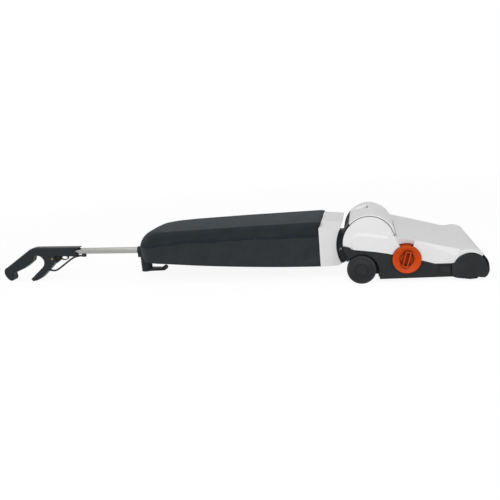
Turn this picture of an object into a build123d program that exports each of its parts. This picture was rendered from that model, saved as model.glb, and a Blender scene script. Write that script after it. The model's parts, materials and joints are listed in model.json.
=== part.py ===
"""Upright vacuum cleaner, lowered flat on the floor, as an assembly of separate pieces.

Frame: millimetres, +X towards the brush, +Z up, floor at Z = 0, and the origin on the floor
halfway along the machine. Side outlines are drawn on planes that look along +Y and start at
the foot of the rear axle, so their first number is the distance in front of the rear axle.
"""

from build123d import *
import math
import os

os.makedirs("parts", exist_ok=True)

# ---------------------------------------------------------------- driving dimensions (mm)
# head
head_half_width = 143.5       # chassis side walls
cover_step = 1.5              # the top cover stands this much outside the chassis
cap_face = 150.0              # outer faces of the end caps
chassis_wall = 3.0
plate_wall = 2.7              # top plate of the cover
ground_clearance = 8.0        # floor to the underside of the chassis
sill_height = 14.0            # floor to the raised rear part of the chassis
sill_x = 38.0                 # where the raised part begins
front_wall_x = 192.6          # front wall of the chassis
chamber_half_width = 118.0    # brush chamber between its end caps
soleplate_thickness = 4.0

# hinge and motor drum
hinge_x = 19.0
hinge_z = 92.0
drum_radius = 57.8
hood_wall = 3.2
neck_wall = 4.0
drum_left = 50.0              # left end of the big drum
drum_right = 118.0            # its right end wall, towards -Y
skirt_right = 135.0           # the hood's skirt laps over the right end wall
duct_radius = 45.0            # smaller drum round the swivelling air duct
duct_left = 97.0
trunnion_radius = 12.0
duct_trunnion_radius = 28.0
bush_wall = 2.95
bush_clearance = 0.05
hood_front_angle = 4.0        # the hood runs from here over the top ...
hood_back_angle = 136.0       # ... to here, counted from straight ahead
wheel_pass_angle = 14.2       # beside the right wheel the hood starts here
cheek_z = 88.0                # centre of the cover's right cheek
cheek_radius = 56.0
left_cheek_radius = 46.0

# brush and its drive
brush_x = 227.0
brush_z = 28.0
chamber_radius = 31.0
chamber_wall = 2.5
cap_radius = 30.6
tuft_radius = 27.6
core_radius = 16.5
tuft_stations = 16
tuft_pitch = 14.0
journal_radius = 6.0
bearing_radius = 11.0
brush_pulley_radius = 17.0
motor_pulley_radius = 8.5
pulley_width = 12.0
belt_thickness = 2.0
belt_y = 128.0
belt_width = 10.0
brush_motor_x = 132.0
brush_motor_z = 44.0
brush_motor_radius = 27.0

# wheels and rollers
wheel_radius = 31.4
wheel_width = 20.0
wheel_face = 150.0            # outer face of the tyres
hub_crown = 3.2               # the domed hub stands this much proud of the tyre
tread_depth = 3.5
axle_radius = 4.0
arch_radius = 37.0
roller_radius = 11.0
roller_width = 14.0
roller_x = 172.0
carriage_x = 56.0
carriage_z = 22.0
carriage_tube_radius = 5.0
arm_y = 112.0
arm_width = 4.0

# height knob and its snail cam
knob_x = 96.0
knob_z = 50.5
knob_radius = 30.0
knob_face = 151.5
flange_radius = 33.0
well_radius = 15.6
shaft_radius = 5.0
cam_low = 14.2                # cam radius at the lowest setting
cam_high = 17.0               # and at the highest
cam_gap = 0.3                 # between the cam and its follower pad

# body
body_half_width = 95.0
bag_front_x = -92.0           # joint between the bag base and the bag
bag_length = 448.0
bag_bottom_z = 29.5
bag_top_z = 132.0
seam_z = 100.4                # joint of bag tray and bag cover
bag_wall = 2.2
bag_corner = 62.0             # rounding of the bag's end, seen from above
tube_radius = 8.0
tube_wall = 1.2
tube_low_z = 53.2             # tube axis where it leaves the bag base
tube_high_z = 75.0            # tube axis where it enters the handle
tube_showing = 205.0          # from the end of the bag to the handle
hook_reach = 6.5              # the hook post stands this far past the end of the bag
hook_radius = 14.0

# handle
handle_half_width = 13.0
handle_length = 205.3
lead_radius = 2.4

# clearances
soft_gap = 0.3                # round soft pieces
slide_gap = 0.4               # round pieces that slide
pin_gap = 0.05                # radial, round pins and journals

# ---------------------------------------------------------------- places worked out from them
bag_end_x = bag_front_x - bag_length
hook_x = bag_end_x - hook_reach
handle_x = bag_end_x - tube_showing
bumper_reach = brush_x + 36.6
wheel_x = (handle_length - handle_x - bumper_reach) / 2
tube_rise = (tube_high_z - tube_low_z) / (bag_front_x - handle_x)
cover_half_width = head_half_width + cover_step
side_inner = head_half_width - chassis_wall
floor_top = ground_clearance + chassis_wall
sill_top = sill_height + chassis_wall
hood_inner = drum_radius - hood_wall
neck_inner = drum_radius - neck_wall
soleplate_z = ground_clearance - soleplate_thickness
sides = (("right", -1), ("left", 1))
hinge = (hinge_x, hinge_z)
brush_axis = (brush_x, brush_z)
knob_axis = (knob_x, knob_z)
brush_motor_axis = (brush_motor_x, brush_motor_z)


def side(y):
    """Plane at station y that looks along +Y: first axis forward, second axis up."""
    return Plane(origin=(wheel_x, y, 0), x_dir=(1, 0, 0), z_dir=(0, -1, 0))


def level(z):
    """Horizontal plane at height z: first axis forward from the rear axle, second axis left."""
    return Plane(origin=(wheel_x, 0, z), x_dir=(1, 0, 0), z_dir=(0, 0, 1))


def across(x):
    """Upright plane across the machine at x: first axis left, second axis up."""
    return Plane(origin=(wheel_x + x, 0, 0), x_dir=(0, 1, 0), z_dir=(1, 0, 0))


def tube_z(x):
    """Height of the handle tube's axis at x."""
    return tube_low_z + (bag_front_x - x) * tube_rise


def along_tube(x):
    """Plane square to the handle tube at x, which faces the handle."""
    return Plane(
        origin=(wheel_x + x, 0, tube_z(x)), x_dir=(0, 1, 0), z_dir=(-1, 0, tube_rise)
    )


def polar(radius, angle, centre=hinge):
    """Point of a side plane at a radius and an angle about a centre."""
    a = math.radians(angle)
    return (centre[0] + radius * math.cos(a), centre[1] + radius * math.sin(a))


def sector(inner, outer, start, end, centre=hinge, mode=Mode.ADD):
    """Ring sector on the side sketch in work."""
    with BuildLine() as border:
        CenterArc(centre, outer, start, end - start)
        CenterArc(centre, inner, start, end - start)
        Line(polar(inner, start, centre), polar(outer, start, centre))
        Line(polar(inner, end, centre), polar(outer, end, centre))
    make_face(border.edges(), mode=mode)


def disc(centre, radius, mode=Mode.ADD):
    """Round face on the sketch in work."""
    with Locations(centre):
        Circle(radius, mode=mode)


def outline(*points, mode=Mode.ADD):
    """Straight-sided face on the sketch in work."""
    with BuildLine() as border:
        Polyline(*points, close=True)
    make_face(border.edges(), mode=mode)


def cap_outline():
    """Outer face of an end cap: straight back edge, flattened foot and a small notch."""
    with BuildLine() as border:
        Polyline(
            (254.6, 6.8), (241.6, 7.2), (238.0, 3.4), (223.7, 2.4), (197.0, 6.0),
            (187.6, 9.6), (187.6, 36.4), (193.8, 37.1),
        )
        Spline(
            (193.8, 37.1), (196.4, 43.6), (203.0, 50.6), (211.0, 54.8), (219.4, 57.0), (227.5, 57.5),
            (237.6, 55.8), (249.6, 49.6), (257.4, 35.5), (259.7, 24.0), (258.6, 14.0), (254.6, 6.8),
        )
    make_face(border.edges())


# joint line between the white cover and the dark chassis, from back to front
cover_joint = (
    (-38.3, 84.6), (-23.5, 81.3), (-19.5, 76.2), (30.0, 69.0),
    (66.7, 62.0), (126.8, 46.6), (154.0, 38.2), (front_wall_x, 37.6),
)
plate_back = (60.0, 105.3)
plate_front = (207.7, 65.0)
cover_crest = (225.5, 66.6)
cover_front = (250.7, 55.2)
lip = polar(chamber_radius + 2.8, 46, brush_axis)

# ================================================================ chassis and its plates
with BuildPart() as chassis:
    with BuildSketch(side(0)):
        with BuildLine():
            Polyline(
                *cover_joint,
                (front_wall_x, ground_clearance),
                (sill_x, ground_clearance),
                (sill_x, sill_height),
                (-16.6, sill_height),
                polar(drum_radius, 232),
            )
            ThreePointArc(polar(drum_radius, 232), polar(drum_radius, 210), cover_joint[0])
        make_face()
    extrude(amount=head_half_width, both=True)
    # inside of the tray, open at the top and at the back
    with BuildSketch(side(0)):
        outline(
            (-70, 130), (-70, sill_top), (sill_x + chassis_wall, sill_top),
            (sill_x + chassis_wall, floor_top), (front_wall_x - 4, floor_top),
            (front_wall_x - 4, 130),
        )
    extrude(amount=side_inner, both=True, mode=Mode.SUBTRACT)
    # vault over the brush
    with BuildSketch(side(0)):
        disc(brush_axis, chamber_radius + chamber_wall)
        outline(
            (front_wall_x - 2, ground_clearance), (front_wall_x - 2, 80),
            (270, 80), (270, ground_clearance), mode=Mode.INTERSECT,
        )
    extrude(amount=chamber_half_width, both=True)
    with BuildSketch(side(0)):
        outline(
            (front_wall_x - 3, ground_clearance), (front_wall_x - 3, 37.6),
            (front_wall_x + 4, 37.6), (front_wall_x + 4, ground_clearance),
        )
    extrude(amount=chamber_half_width, both=True)
    with BuildSketch(side(0)):
        disc(brush_axis, chamber_radius)
    extrude(amount=cap_face, both=True, mode=Mode.SUBTRACT)
    # wheel arches: open outwards, walled inwards and over the top
    for name, s in sides:
        with BuildSketch(side(s * (chamber_half_width - 1))):
            disc((1, 27), arch_radius + chassis_wall)
            disc(hinge, drum_radius + 1.6, mode=Mode.SUBTRACT)
            outline((-60, -20), (-60, 50), (-26.4, 50), (-26.4, sill_height), (60, sill_height),
                    (60, -20), mode=Mode.SUBTRACT)
        extrude(amount=-s * (head_half_width - chamber_half_width + 1))
        with BuildSketch(side(s * (chamber_half_width + 2))):
            disc((1, 27), arch_radius)
        extrude(amount=-s * 40, mode=Mode.SUBTRACT)
    # lugs of the roller carriage
    for name, s in sides:
        with BuildSketch(side(s * 90)):
            disc((carriage_x, carriage_z), 8)
            outline((48, 9), (48, carriage_z), (64, carriage_z), (64, 9))
        extrude(amount=-s * 3)
    # bearing lug of the knob shaft
    with BuildSketch(side(-102)):
        outline((84, 10), (88, 58), (104, 58), (108, 10))
    extrude(amount=3)
    # lug of the release pedal
    with BuildSketch(side(101.8)):
        outline((-14, sill_height), (-12, 54), (0, 54), (8, sill_height))
        disc((-6, 56), 6)
    extrude(amount=-2.4)
    # bores for the axle, the carriage, the knob shaft and the pedal pin
    with BuildSketch(side(0)):
        disc((0, wheel_radius), axle_radius + pin_gap)
        disc((carriage_x, carriage_z), carriage_tube_radius + pin_gap)
    extrude(amount=chamber_half_width + 4, both=True, mode=Mode.SUBTRACT)
    with BuildSketch(side(-100)):
        disc(knob_axis, shaft_radius + pin_gap)
    extrude(amount=8, mode=Mode.SUBTRACT)
    with BuildSketch(side(100)):
        disc((-6, 56), 2.52)
    extrude(amount=-22, mode=Mode.SUBTRACT)
    # openings for the knob and for the brush latch in the right wall
    with BuildSketch(side(-side_inner + 1)):
        disc(knob_axis, knob_radius + 0.8)
        with Locations((174.2, 22.7)):
            Rectangle(25.6 + 2 * slide_gap, 20.4 + 2 * slide_gap)
    extrude(amount=20, mode=Mode.SUBTRACT)
    # slots in the floor for the front rollers and their arms
    for name, s in sides:
        with BuildSketch(level(0)):
            with Locations((roller_x, s * 101)):
                Rectangle(2 * roller_radius + 6, 18)
            with Locations((132, s * arm_y)):
                Rectangle(112, arm_width + 3)
        extrude(amount=floor_top + 1, mode=Mode.SUBTRACT)
    # opening for the drive belt in the front wall
    with BuildSketch(side(belt_y - belt_width / 2 - 3)):
        outline((185, 14), (185, 60), (198, 60), (198, 14))
    extrude(amount=-belt_width - 6, mode=Mode.SUBTRACT)
    # air passage from the brush chamber into the duct
    with BuildSketch(side(70)):
        outline((190, 45), (190, 56), (212, 56), (206, 45))
    extrude(amount=-42, mode=Mode.SUBTRACT)
    # bores for the screws of the sole plate
    with BuildSketch(level(0)):
        with Locations((190.5, -90), (190.5, -30), (190.5, 30), (190.5, 90)):
            Circle(1.65)
    extrude(amount=floor_top + 6, mode=Mode.SUBTRACT)
chassis.part.label = "chassis"
export_step(chassis.part, "parts/chassis.step")

with BuildPart() as soleplate:
    with BuildSketch(level(soleplate_z)):
        with Locations(((185 + 249.2) / 2, 0)):
            RectangleRounded(64.2, 2 * chamber_half_width - 2, 4)
        # brush window, crossed by bars that stand between the rings of tufts
        with Locations((226.7, 0)):
            Rectangle(40.4, 2 * chamber_half_width - 12, mode=Mode.SUBTRACT)
            with GridLocations(0, 4 * tuft_pitch, 1, 4):
                Rectangle(42, 2.0)
    extrude(amount=soleplate_thickness)
    with BuildSketch(level(soleplate_z)):
        with Locations((190.5, -90), (190.5, -30), (190.5, 30), (190.5, 90)):
            Circle(1.65)
    extrude(amount=soleplate_thickness, mode=Mode.SUBTRACT)
    with BuildSketch(level(soleplate_z)):
        with Locations((190.5, -90), (190.5, -30), (190.5, 30), (190.5, 90)):
            Circle(3.6)
    extrude(amount=2.2, mode=Mode.SUBTRACT)
soleplate.part.label = "soleplate"
export_step(soleplate.part, "parts/soleplate.step")

with BuildPart() as head_screws:
    with BuildSketch(level(soleplate_z)):
        with Locations((190.5, -90), (190.5, -30), (190.5, 30), (190.5, 90)):
            Circle(3.4)
    extrude(amount=2.2)
    with BuildSketch(level(soleplate_z)):
        with Locations((190.5, -90), (190.5, -30), (190.5, 30), (190.5, 90)):
            Circle(1.6)
    extrude(amount=9)
head_screws.part.label = "head_screws"
export_step(head_screws.part, "parts/head_screws.step")

with BuildPart() as front_bumper:
    bumper_inner = chamber_radius + 2.8
    bumper_half_width = 143.6
    with BuildSketch(side(0)):
        with BuildLine():
            ThreePointArc((251.6, 53.2), (260.4, 41.5), (bumper_reach, 27.0))
            ThreePointArc((bumper_reach, 27.0), (262.6, 14.0), (257.0, 5.2))
            Polyline((257.0, 5.2), (253.0, 3.6), (249.4, 4.2), polar(bumper_inner, -41, brush_axis))
            CenterArc(brush_axis, bumper_inner, -41, 87)
            Line(lip, (251.6, 53.2))
        make_face()
    extrude(amount=bumper_half_width, both=True)
    # feet of the bumper beside the end caps
    for name, s in sides:
        with BuildSketch(side(s * (chamber_half_width + 0.6))):
            outline((243.4, 4.4), (244.2, 6.2), (250.6, 6.8), (253.6, 3.8))
        extrude(amount=-s * (bumper_half_width - chamber_half_width - 0.6))
        # step under the white ring of the cover
        with BuildSketch(side(s * (cover_half_width - 4.4))):
            sector(cap_radius, 39.0, 37.0, 60.0, brush_axis)
        extrude(amount=-s * 10, mode=Mode.SUBTRACT)
front_bumper.part.label = "front_bumper"
export_step(front_bumper.part, "parts/front_bumper.step")

for name, s in sides:
    with BuildPart() as end_cap:
        # round cover with a straight back edge, a flattened foot and a small notch
        with BuildSketch(side(s * (chamber_half_width + 0.3))):
            with BuildLine():
                Polyline(
                    polar(cap_radius, 163, brush_axis), (192.8, 36.9), (192.8, 9.0), (197.0, 6.0),
                    (223.7, 2.4), (238.0, 3.4), (241.6, 7.2), polar(cap_radius, -42, brush_axis),
                )
                CenterArc(brush_axis, cap_radius, -42, 205)
            make_face()
        extrude(amount=-s * (144.4 - chamber_half_width - 0.3))
        with BuildSketch(side(s * 144.0)):
            cap_outline()
        extrude(amount=-s * (cap_face - 144.0))
        fillet(end_cap.faces().sort_by(Axis.Y)[0 if s < 0 else -1].edges(), 1.8)
        # spigot that closes the chamber and holds the brush bearing
        with BuildSketch(side(s * (chamber_half_width - 4))):
            disc(brush_axis, chamber_radius - 0.4)
            outline((190, -20), (190, 8.4), (270, 8.4), (270, -20), mode=Mode.SUBTRACT)
        extrude(amount=-s * 5)
        with BuildSketch(side(s * (chamber_half_width - 5))):
            disc(brush_axis, bearing_radius + 0.03)
        extrude(amount=-s * 9, mode=Mode.SUBTRACT)
        # room inside: for the belt drive on the left, to save weight on the right
        with BuildSketch(side(s * (chamber_half_width + 3))):
            if s > 0:
                disc(brush_axis, brush_pulley_radius + belt_thickness + 2.5)
                disc(brush_motor_axis, motor_pulley_radius + belt_thickness + 2.5)
                make_hull()
            else:
                disc(brush_axis, 22)
        extrude(amount=-s * 25, mode=Mode.SUBTRACT)
    end_cap.part.label = "end_cap_" + name
    export_step(end_cap.part, "parts/end_cap_" + name + ".step")

with BuildPart() as brush_latch:
    # push button behind a flange, with a finger dish
    with BuildSketch(side(-side_inner + 2.8)):
        with Locations((174.2, 22.7)):
            RectangleRounded(28.0, 21.8, 1.0)
    extrude(amount=2.2)
    with BuildSketch(side(-side_inner + 2.8)):
        with Locations((174.2, 22.7)):
            RectangleRounded(25.6, 20.4, 1.0)
    extrude(amount=6.6)
    with BuildSketch(side(-side_inner - 3.8)):
        with Locations((174.2, 22.7)):
            RectangleRounded(20.6, 15.4, 1.0)
    extrude(amount=-0.7, mode=Mode.SUBTRACT)
brush_latch.part.label = "brush_latch"
export_step(brush_latch.part, "parts/brush_latch.step")

# ================================================================ top cover
with BuildPart() as top_cover:
    # front body: flat plate, hump and rounded front
    with BuildSketch(side(0)):
        with BuildLine():
            Line(plate_back, plate_front)
            Spline(
                plate_front, cover_crest, cover_front,
                tangents=((1.0, 0.0), (0.62, -0.78)),
            )
            Line(cover_front, lip)
            CenterArc(brush_axis, chamber_radius + 2.8, 46, 117.4)
            Polyline(
                polar(chamber_radius + 2.8, 163.4, brush_axis), cover_joint[7], cover_joint[6],
                cover_joint[5], cover_joint[4], (60.0, 63.28), plate_back,
            )
        make_face()
    extrude(amount=cover_half_width, both=True)
    # hollow under the plate
    with BuildSketch(side(0)):
        outline((55, 0), (55, 103.9), (205.5, 62.9), (214, 57), (214, 0))
    extrude(amount=133.4, both=True, mode=Mode.SUBTRACT)
    for name, s in sides:
        with BuildSketch(side(s * 132)):
            outline((126, 30), (126, 79), (192, 50.5), (196, 30))
            if s > 0:
                outline((55, 30), (55, 96), (110, 86), (127, 78.5), (127, 30))
        extrude(amount=-s * 10.4, mode=Mode.SUBTRACT)
    # right cheek: a round disc with a proud, ruled panel over the wheel
    with BuildSketch(side(-138.2)):
        disc((18.5, cheek_z), cheek_radius)
        outline(*cover_joint[:5], (66.7, 150), (-60, 150), (-60, 84.6), mode=Mode.INTERSECT)
    extrude(amount=3.3)
    with BuildSketch(side(-141.0)):
        outline((-22.6, 82), (-22.6, 117.3), (76, 101.0), (76, 60.1), (66.7, 62.4), (30, 69.4),
                (-19.2, 76.6))
        fillet(vertices().sort_by(Axis.Y)[-1], 22)
    with BuildSketch(side(-cover_half_width)):
        outline((-16, 80), (-16, 108.5), (76, 94.3), (76, 60.1), (66.7, 62.4), (30, 69.4),
                (-14.5, 75.9))
        fillet(vertices().sort_by(Axis.Y)[-1], 15)
    loft(ruled=True)
    # left cheek and the shoulder over the air duct
    with BuildSketch(side(138.5)):
        disc(hinge, left_cheek_radius)
        outline((-27, 81.8), (-27, hinge_z), (60, hinge_z), (60, 63.28))
        outline(*cover_joint[:5], (66.7, 150), (-60, 150), (-60, 84.6), mode=Mode.INTERSECT)
    extrude(amount=-3.0)
    with BuildSketch(side(141.5)):
        outline(*cover_joint[2:4], (60, 63.28), (60, 102), (0, 104), (-16, 98), (-19.5, 90))
    extrude(amount=-(cover_half_width - 141.5))
    with BuildSketch(side(97.6)):
        sector(left_cheek_radius - 2.6, left_cheek_radius, 14, 187)
    extrude(amount=-43.9)
    # aprons behind the plate, close round the two drums
    with BuildSketch(side(drum_left + 0.6)):
        sector(drum_radius + 0.7, drum_radius + 3.2, -20, 9)
    extrude(amount=drum_left + 0.6 + 138.2)
    with BuildSketch(side(drum_left + 0.6)):
        sector(duct_radius + 0.7, duct_radius + 3.2, -25, 15)
    extrude(amount=-(97.6 - drum_left - 0.6))
    with BuildSketch(side(drum_left + 0.6)):
        disc(hinge, drum_radius + 0.7)
    extrude(amount=drum_left + 0.6 + 138.2, mode=Mode.SUBTRACT)
    with BuildSketch(side(drum_left + 0.6)):
        disc(hinge, duct_radius + 0.7)
    extrude(amount=-(97.6 - drum_left - 0.6), mode=Mode.SUBTRACT)
    # inner ring of the cheek, inside the hood's skirt
    with BuildSketch(side(-135.4)):
        sector(47, 53.4, 4, 186)
    extrude(amount=2.9)
    # white ring round each end cap
    for name, s in sides:
        with BuildSketch(side(s * 141.0)):
            sector(chamber_radius, 37.6, 47, 160, brush_axis)
        extrude(amount=-s * 6)
    with BuildSketch(side(0)):
        disc(brush_axis, chamber_radius)
    extrude(amount=cap_face, both=True, mode=Mode.SUBTRACT)
    with BuildSketch(side(0)):
        disc(brush_axis, chamber_radius + 2.8)
    extrude(amount=142.4, both=True, mode=Mode.SUBTRACT)
    for name, s in sides:
        with BuildSketch(side(s * 143.8)):
            disc((225.3, 24.0), 35.7)
        extrude(amount=-s * 6, mode=Mode.SUBTRACT)
    # long facet that widens towards the front on both upper edges
    for name, s in sides:
        facet = Face(
            Wire.make_polygon(
                [
                    (wheel_x + 112.0, s * (cover_half_width + 0.1), 91.3),
                    (wheel_x + 206.5, s * 136.0, 65.6),
                    (wheel_x + 203.0, s * (cover_half_width + 0.1), 50.0),
                ]
            )
        )
        extrude(to_extrude=facet, amount=25, dir=(0, s * 0.6, 0.8), mode=Mode.SUBTRACT)
    # scoop over the knob
    scoop_back = Face(
        Wire.make_polygon(
            [(wheel_x + 71.5, -cover_half_width - 0.1, 103.0),
             (wheel_x + 82.3, -cover_half_width - 0.1, 79.0),
             (wheel_x + 82.3, -136.0, 79.0)]
        )
    )
    scoop_front = Face(
        Wire.make_polygon(
            [(wheel_x + 114.0, -cover_half_width - 0.1, 91.6),
             (wheel_x + 110.7, -cover_half_width - 0.1, 78.0),
             (wheel_x + 110.7, -136.0, 78.0)]
        )
    )
    loft(sections=[scoop_back, scoop_front], ruled=True, mode=Mode.SUBTRACT)
    # hole for the knob with a pocket for its flange
    with BuildSketch(side(-140.4)):
        disc(knob_axis, knob_radius + 0.8)
    extrude(amount=10, mode=Mode.SUBTRACT)
    with BuildSketch(side(-130)):
        disc(knob_axis, flange_radius + 1)
    extrude(amount=10.4, mode=Mode.SUBTRACT)
top_cover.part.label = "top_cover"
export_step(top_cover.part, "parts/top_cover.step")

# ================================================================ hinge and axle
with BuildPart() as hinge_bracket_right:
    with BuildSketch(side(-135.8)):
        disc(hinge, trunnion_radius + bush_wall + 4)
        outline((24, 76), (42.5, 56), (59, 56), (36, 98))
        outline((42.5, floor_top), (42.5, 58), (59, 58), (59, floor_top))
        disc(hinge, trunnion_radius + bush_clearance + bush_wall + 0.02, mode=Mode.SUBTRACT)
    extrude(amount=2.2)
    with BuildSketch(level(floor_top)):
        with Locations((50.75, -129)):
            Rectangle(16.5, 14)
    extrude(amount=2.2)
hinge_bracket_right.part.label = "hinge_bracket_right"
export_step(hinge_bracket_right.part, "parts/hinge_bracket_right.step")

with BuildPart() as hinge_bracket_left:
    with BuildSketch(side(98.5)):
        disc(hinge, duct_trunnion_radius + bush_wall + 5)
        outline((24, 64), (41.4, 48), (50.2, 48), (50.2, 76))
        outline((41.4, floor_top), (41.4, 60), (50.2, 60), (50.2, floor_top))
        disc(hinge, duct_trunnion_radius + bush_clearance + bush_wall + 0.02, mode=Mode.SUBTRACT)
    extrude(amount=-3.0)
    with BuildSketch(level(floor_top)):
        with Locations((45.8, 103.5)):
            Rectangle(8.8, 10)
    extrude(amount=2.2)
hinge_bracket_left.part.label = "hinge_bracket_left"
export_step(hinge_bracket_left.part, "parts/hinge_bracket_left.step")

with BuildPart() as hinge_bushes:
    with BuildSketch(side(-135.6)):
        disc(hinge, trunnion_radius + bush_clearance + bush_wall)
        disc(hinge, trunnion_radius + bush_clearance, mode=Mode.SUBTRACT)
    extrude(amount=2.4)
    with BuildSketch(side(98.3)):
        disc(hinge, duct_trunnion_radius + bush_clearance + bush_wall)
        disc(hinge, duct_trunnion_radius + bush_clearance, mode=Mode.SUBTRACT)
    extrude(amount=-3.4)
hinge_bushes.part.label = "hinge_bushes"
export_step(hinge_bushes.part, "parts/hinge_bushes.step")

with BuildPart() as rear_axle:
    with BuildSketch(side(0)):
        disc((0, wheel_radius), axle_radius)
    extrude(amount=wheel_face - 4, both=True)
rear_axle.part.label = "rear_axle"
export_step(rear_axle.part, "parts/rear_axle.step")

for name, s in sides:
    with BuildPart() as wheel_tyre:
        with BuildSketch(side(s * (wheel_face - wheel_width))):
            disc((0, wheel_radius), wheel_radius)
        extrude(amount=-s * wheel_width)
        fillet(wheel_tyre.edges().filter_by(GeomType.CIRCLE), 3.2)
        with BuildSketch(side(0)):
            disc((0, wheel_radius), wheel_radius - tread_depth)
        extrude(amount=-s * 160, mode=Mode.SUBTRACT)
    wheel_tyre.part.label = "wheel_tyre_" + name
    export_step(wheel_tyre.part, "parts/wheel_tyre_" + name + ".step")

    with BuildPart() as wheel_hub:
        # disc with a low crown and a hub cap
        with BuildSketch(side(s * (wheel_face - wheel_width))):
            disc((0, wheel_radius), wheel_radius - tread_depth)
        extrude(amount=-s * (wheel_width - 0.4))
        with BuildSketch(side(s * (wheel_face - 0.5))):
            disc((0, wheel_radius), wheel_radius - tread_depth - 1)
        with BuildSketch(side(s * (wheel_face + hub_crown - 1))):
            disc((0, wheel_radius), 13.5)
        loft(ruled=True)
        with BuildSketch(side(s * (wheel_face + hub_crown - 1.1))):
            disc((0, wheel_radius), 12.5)
        extrude(amount=-s * 1.1)
        # hollow back, and a boss round the axle
        with BuildSketch(side(s * (wheel_face - wheel_width))):
            disc((0, wheel_radius), wheel_radius - tread_depth - 3)
            disc((0, wheel_radius), 9, mode=Mode.SUBTRACT)
        extrude(amount=-s * (wheel_width - 4), mode=Mode.SUBTRACT)
        with BuildSketch(side(s * (wheel_face - wheel_width - 1))):
            disc((0, wheel_radius), axle_radius + pin_gap)
        extrude(amount=-s * (wheel_width - 2.6), mode=Mode.SUBTRACT)
        # fine groove round the hub cap
        with BuildSketch(side(s * (wheel_face + 1.4))):
            disc((0, wheel_radius), 14.2)
            disc((0, wheel_radius), 13.4, mode=Mode.SUBTRACT)
        extrude(amount=-s * 5, mode=Mode.SUBTRACT)
    wheel_hub.part.label = "wheel_hub_" + name
    export_step(wheel_hub.part, "parts/wheel_hub_" + name + ".step")

# ================================================================ front rollers and their lift
with BuildPart() as roller_carriage:
    with BuildSketch(side(0)):
        disc((carriage_x, carriage_z), carriage_tube_radius)
    extrude(amount=arm_y + arm_width / 2, both=True)
    for name, s in sides:
        with BuildSketch(side(s * (arm_y - arm_width / 2))):
            disc((carriage_x, carriage_z), 7)
            disc((roller_x, roller_radius), 6)
            make_hull()
            disc((roller_x, roller_radius), 3.02, mode=Mode.SUBTRACT)
        extrude(amount=-s * arm_width)
    # pad under the cam
    with BuildSketch(side(-108)):
        disc((knob_x, knob_z - cam_low - cam_gap - 5), 5)
        outline((knob_x - 5, 20), (knob_x - 5, 31), (knob_x + 5, 31), (knob_x + 5, 20))
    extrude(amount=8)
roller_carriage.part.label = "roller_carriage"
export_step(roller_carriage.part, "parts/roller_carriage.step")

with BuildPart() as roller_pins:
    for name, s in sides:
        with BuildSketch(side(s * 93)):
            disc((roller_x, roller_radius), 3.0)
        extrude(amount=-s * (arm_y + arm_width / 2 - 93))
roller_pins.part.label = "roller_pins"
export_step(roller_pins.part, "parts/roller_pins.step")

for name, s in sides:
    with BuildPart() as front_roller:
        with BuildSketch(side(s * 94)):
            disc((roller_x, roller_radius), roller_radius)
        extrude(amount=-s * roller_width)
        chamfer(front_roller.edges().filter_by(GeomType.CIRCLE), 1.0)
        with BuildSketch(side(s * 90)):
            disc((roller_x, roller_radius), 3.0 + pin_gap)
        extrude(amount=-s * 30, mode=Mode.SUBTRACT)
    front_roller.part.label = "front_roller_" + name
    export_step(front_roller.part, "parts/front_roller_" + name + ".step")

with BuildPart() as height_knob:
    with BuildSketch(side(-101.8)):
        disc(knob_axis, shaft_radius)
    extrude(amount=137 - 101.8 + 1)
    with BuildSketch(side(-137)):
        disc(knob_axis, flange_radius)
    extrude(amount=3)
    with BuildSketch(side(-137)):
        disc(knob_axis, knob_radius)
    extrude(amount=knob_face - 137)
    fillet(height_knob.faces().sort_by(Axis.Y)[0].edges(), 0.9)
    # conical dish, round finger well, and a hollow grip bar across both
    with BuildSketch(side(-knob_face)):
        disc(knob_axis, knob_radius - 2.4)
    with BuildSketch(side(-knob_face + 6)):
        disc(knob_axis, well_radius)
    loft(mode=Mode.SUBTRACT)
    with BuildSketch(side(-knob_face + 5.9)):
        disc(knob_axis, well_radius)
    extrude(amount=-5.1, mode=Mode.SUBTRACT)
    with BuildSketch(side(-knob_face + 11.2)):
        with Locations(knob_axis):
            RectangleRounded(12.2, 35.0, 1.5, rotation=-16)
    extrude(amount=10.6)
    with BuildSketch(side(-knob_face)):
        with Locations(knob_axis):
            RectangleRounded(7.0, 29.6, 0.8, rotation=-16)
    extrude(amount=-10.5, mode=Mode.SUBTRACT)
height_knob.part.label = "height_knob"
export_step(height_knob.part, "parts/height_knob.step")

with BuildPart() as height_cam:
    # snail cam: the radius grows over half a turn from the lowest to the highest setting
    cam_points = []
    for step in range(0, 37):
        angle = -90 + step * 10
        if angle <= 90:
            radius = cam_low + (cam_high - cam_low) * (angle + 90) / 180
        else:
            radius = max(cam_low, cam_high - (cam_high - cam_low) * (angle - 90) / 120)
        cam_points.append(polar(radius, angle, knob_axis))
    with BuildSketch(side(-108)):
        outline(*cam_points[:-1])
        disc(knob_axis, shaft_radius + 0.02, mode=Mode.SUBTRACT)
    extrude(amount=8)
height_cam.part.label = "height_cam"
export_step(height_cam.part, "parts/height_cam.step")

# ================================================================ brush and its drive
with BuildPart() as brush_core:
    with BuildSketch(side(0)):
        disc(brush_axis, core_radius)
    extrude(amount=111, both=True)
    with BuildSketch(side(118.6)):
        disc(brush_axis, journal_radius)
    extrude(amount=2 * 118.6)
    with BuildSketch(side(118)):
        disc(brush_axis, journal_radius - 0.02)
    extrude(amount=-(belt_y + pulley_width / 2 - 118))
    # pockets for the tufts, in two helical rows
    for row in range(2):
        for n in range(tuft_stations):
            turn = 180 * row + 160 * n / (tuft_stations - 1)
            y = (n - (tuft_stations - 1) / 2) * tuft_pitch
            pocket = Plane(
                origin=(wheel_x + brush_x, y, brush_z),
                x_dir=(0, 1, 0),
                z_dir=(math.cos(math.radians(turn)), 0, math.sin(math.radians(turn))),
            )
            with BuildSketch(pocket.offset(11)):
                Rectangle(5.1, 4.1)
            extrude(amount=8, mode=Mode.SUBTRACT)
brush_core.part.label = "brush_core"
export_step(brush_core.part, "parts/brush_core.step")

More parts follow.
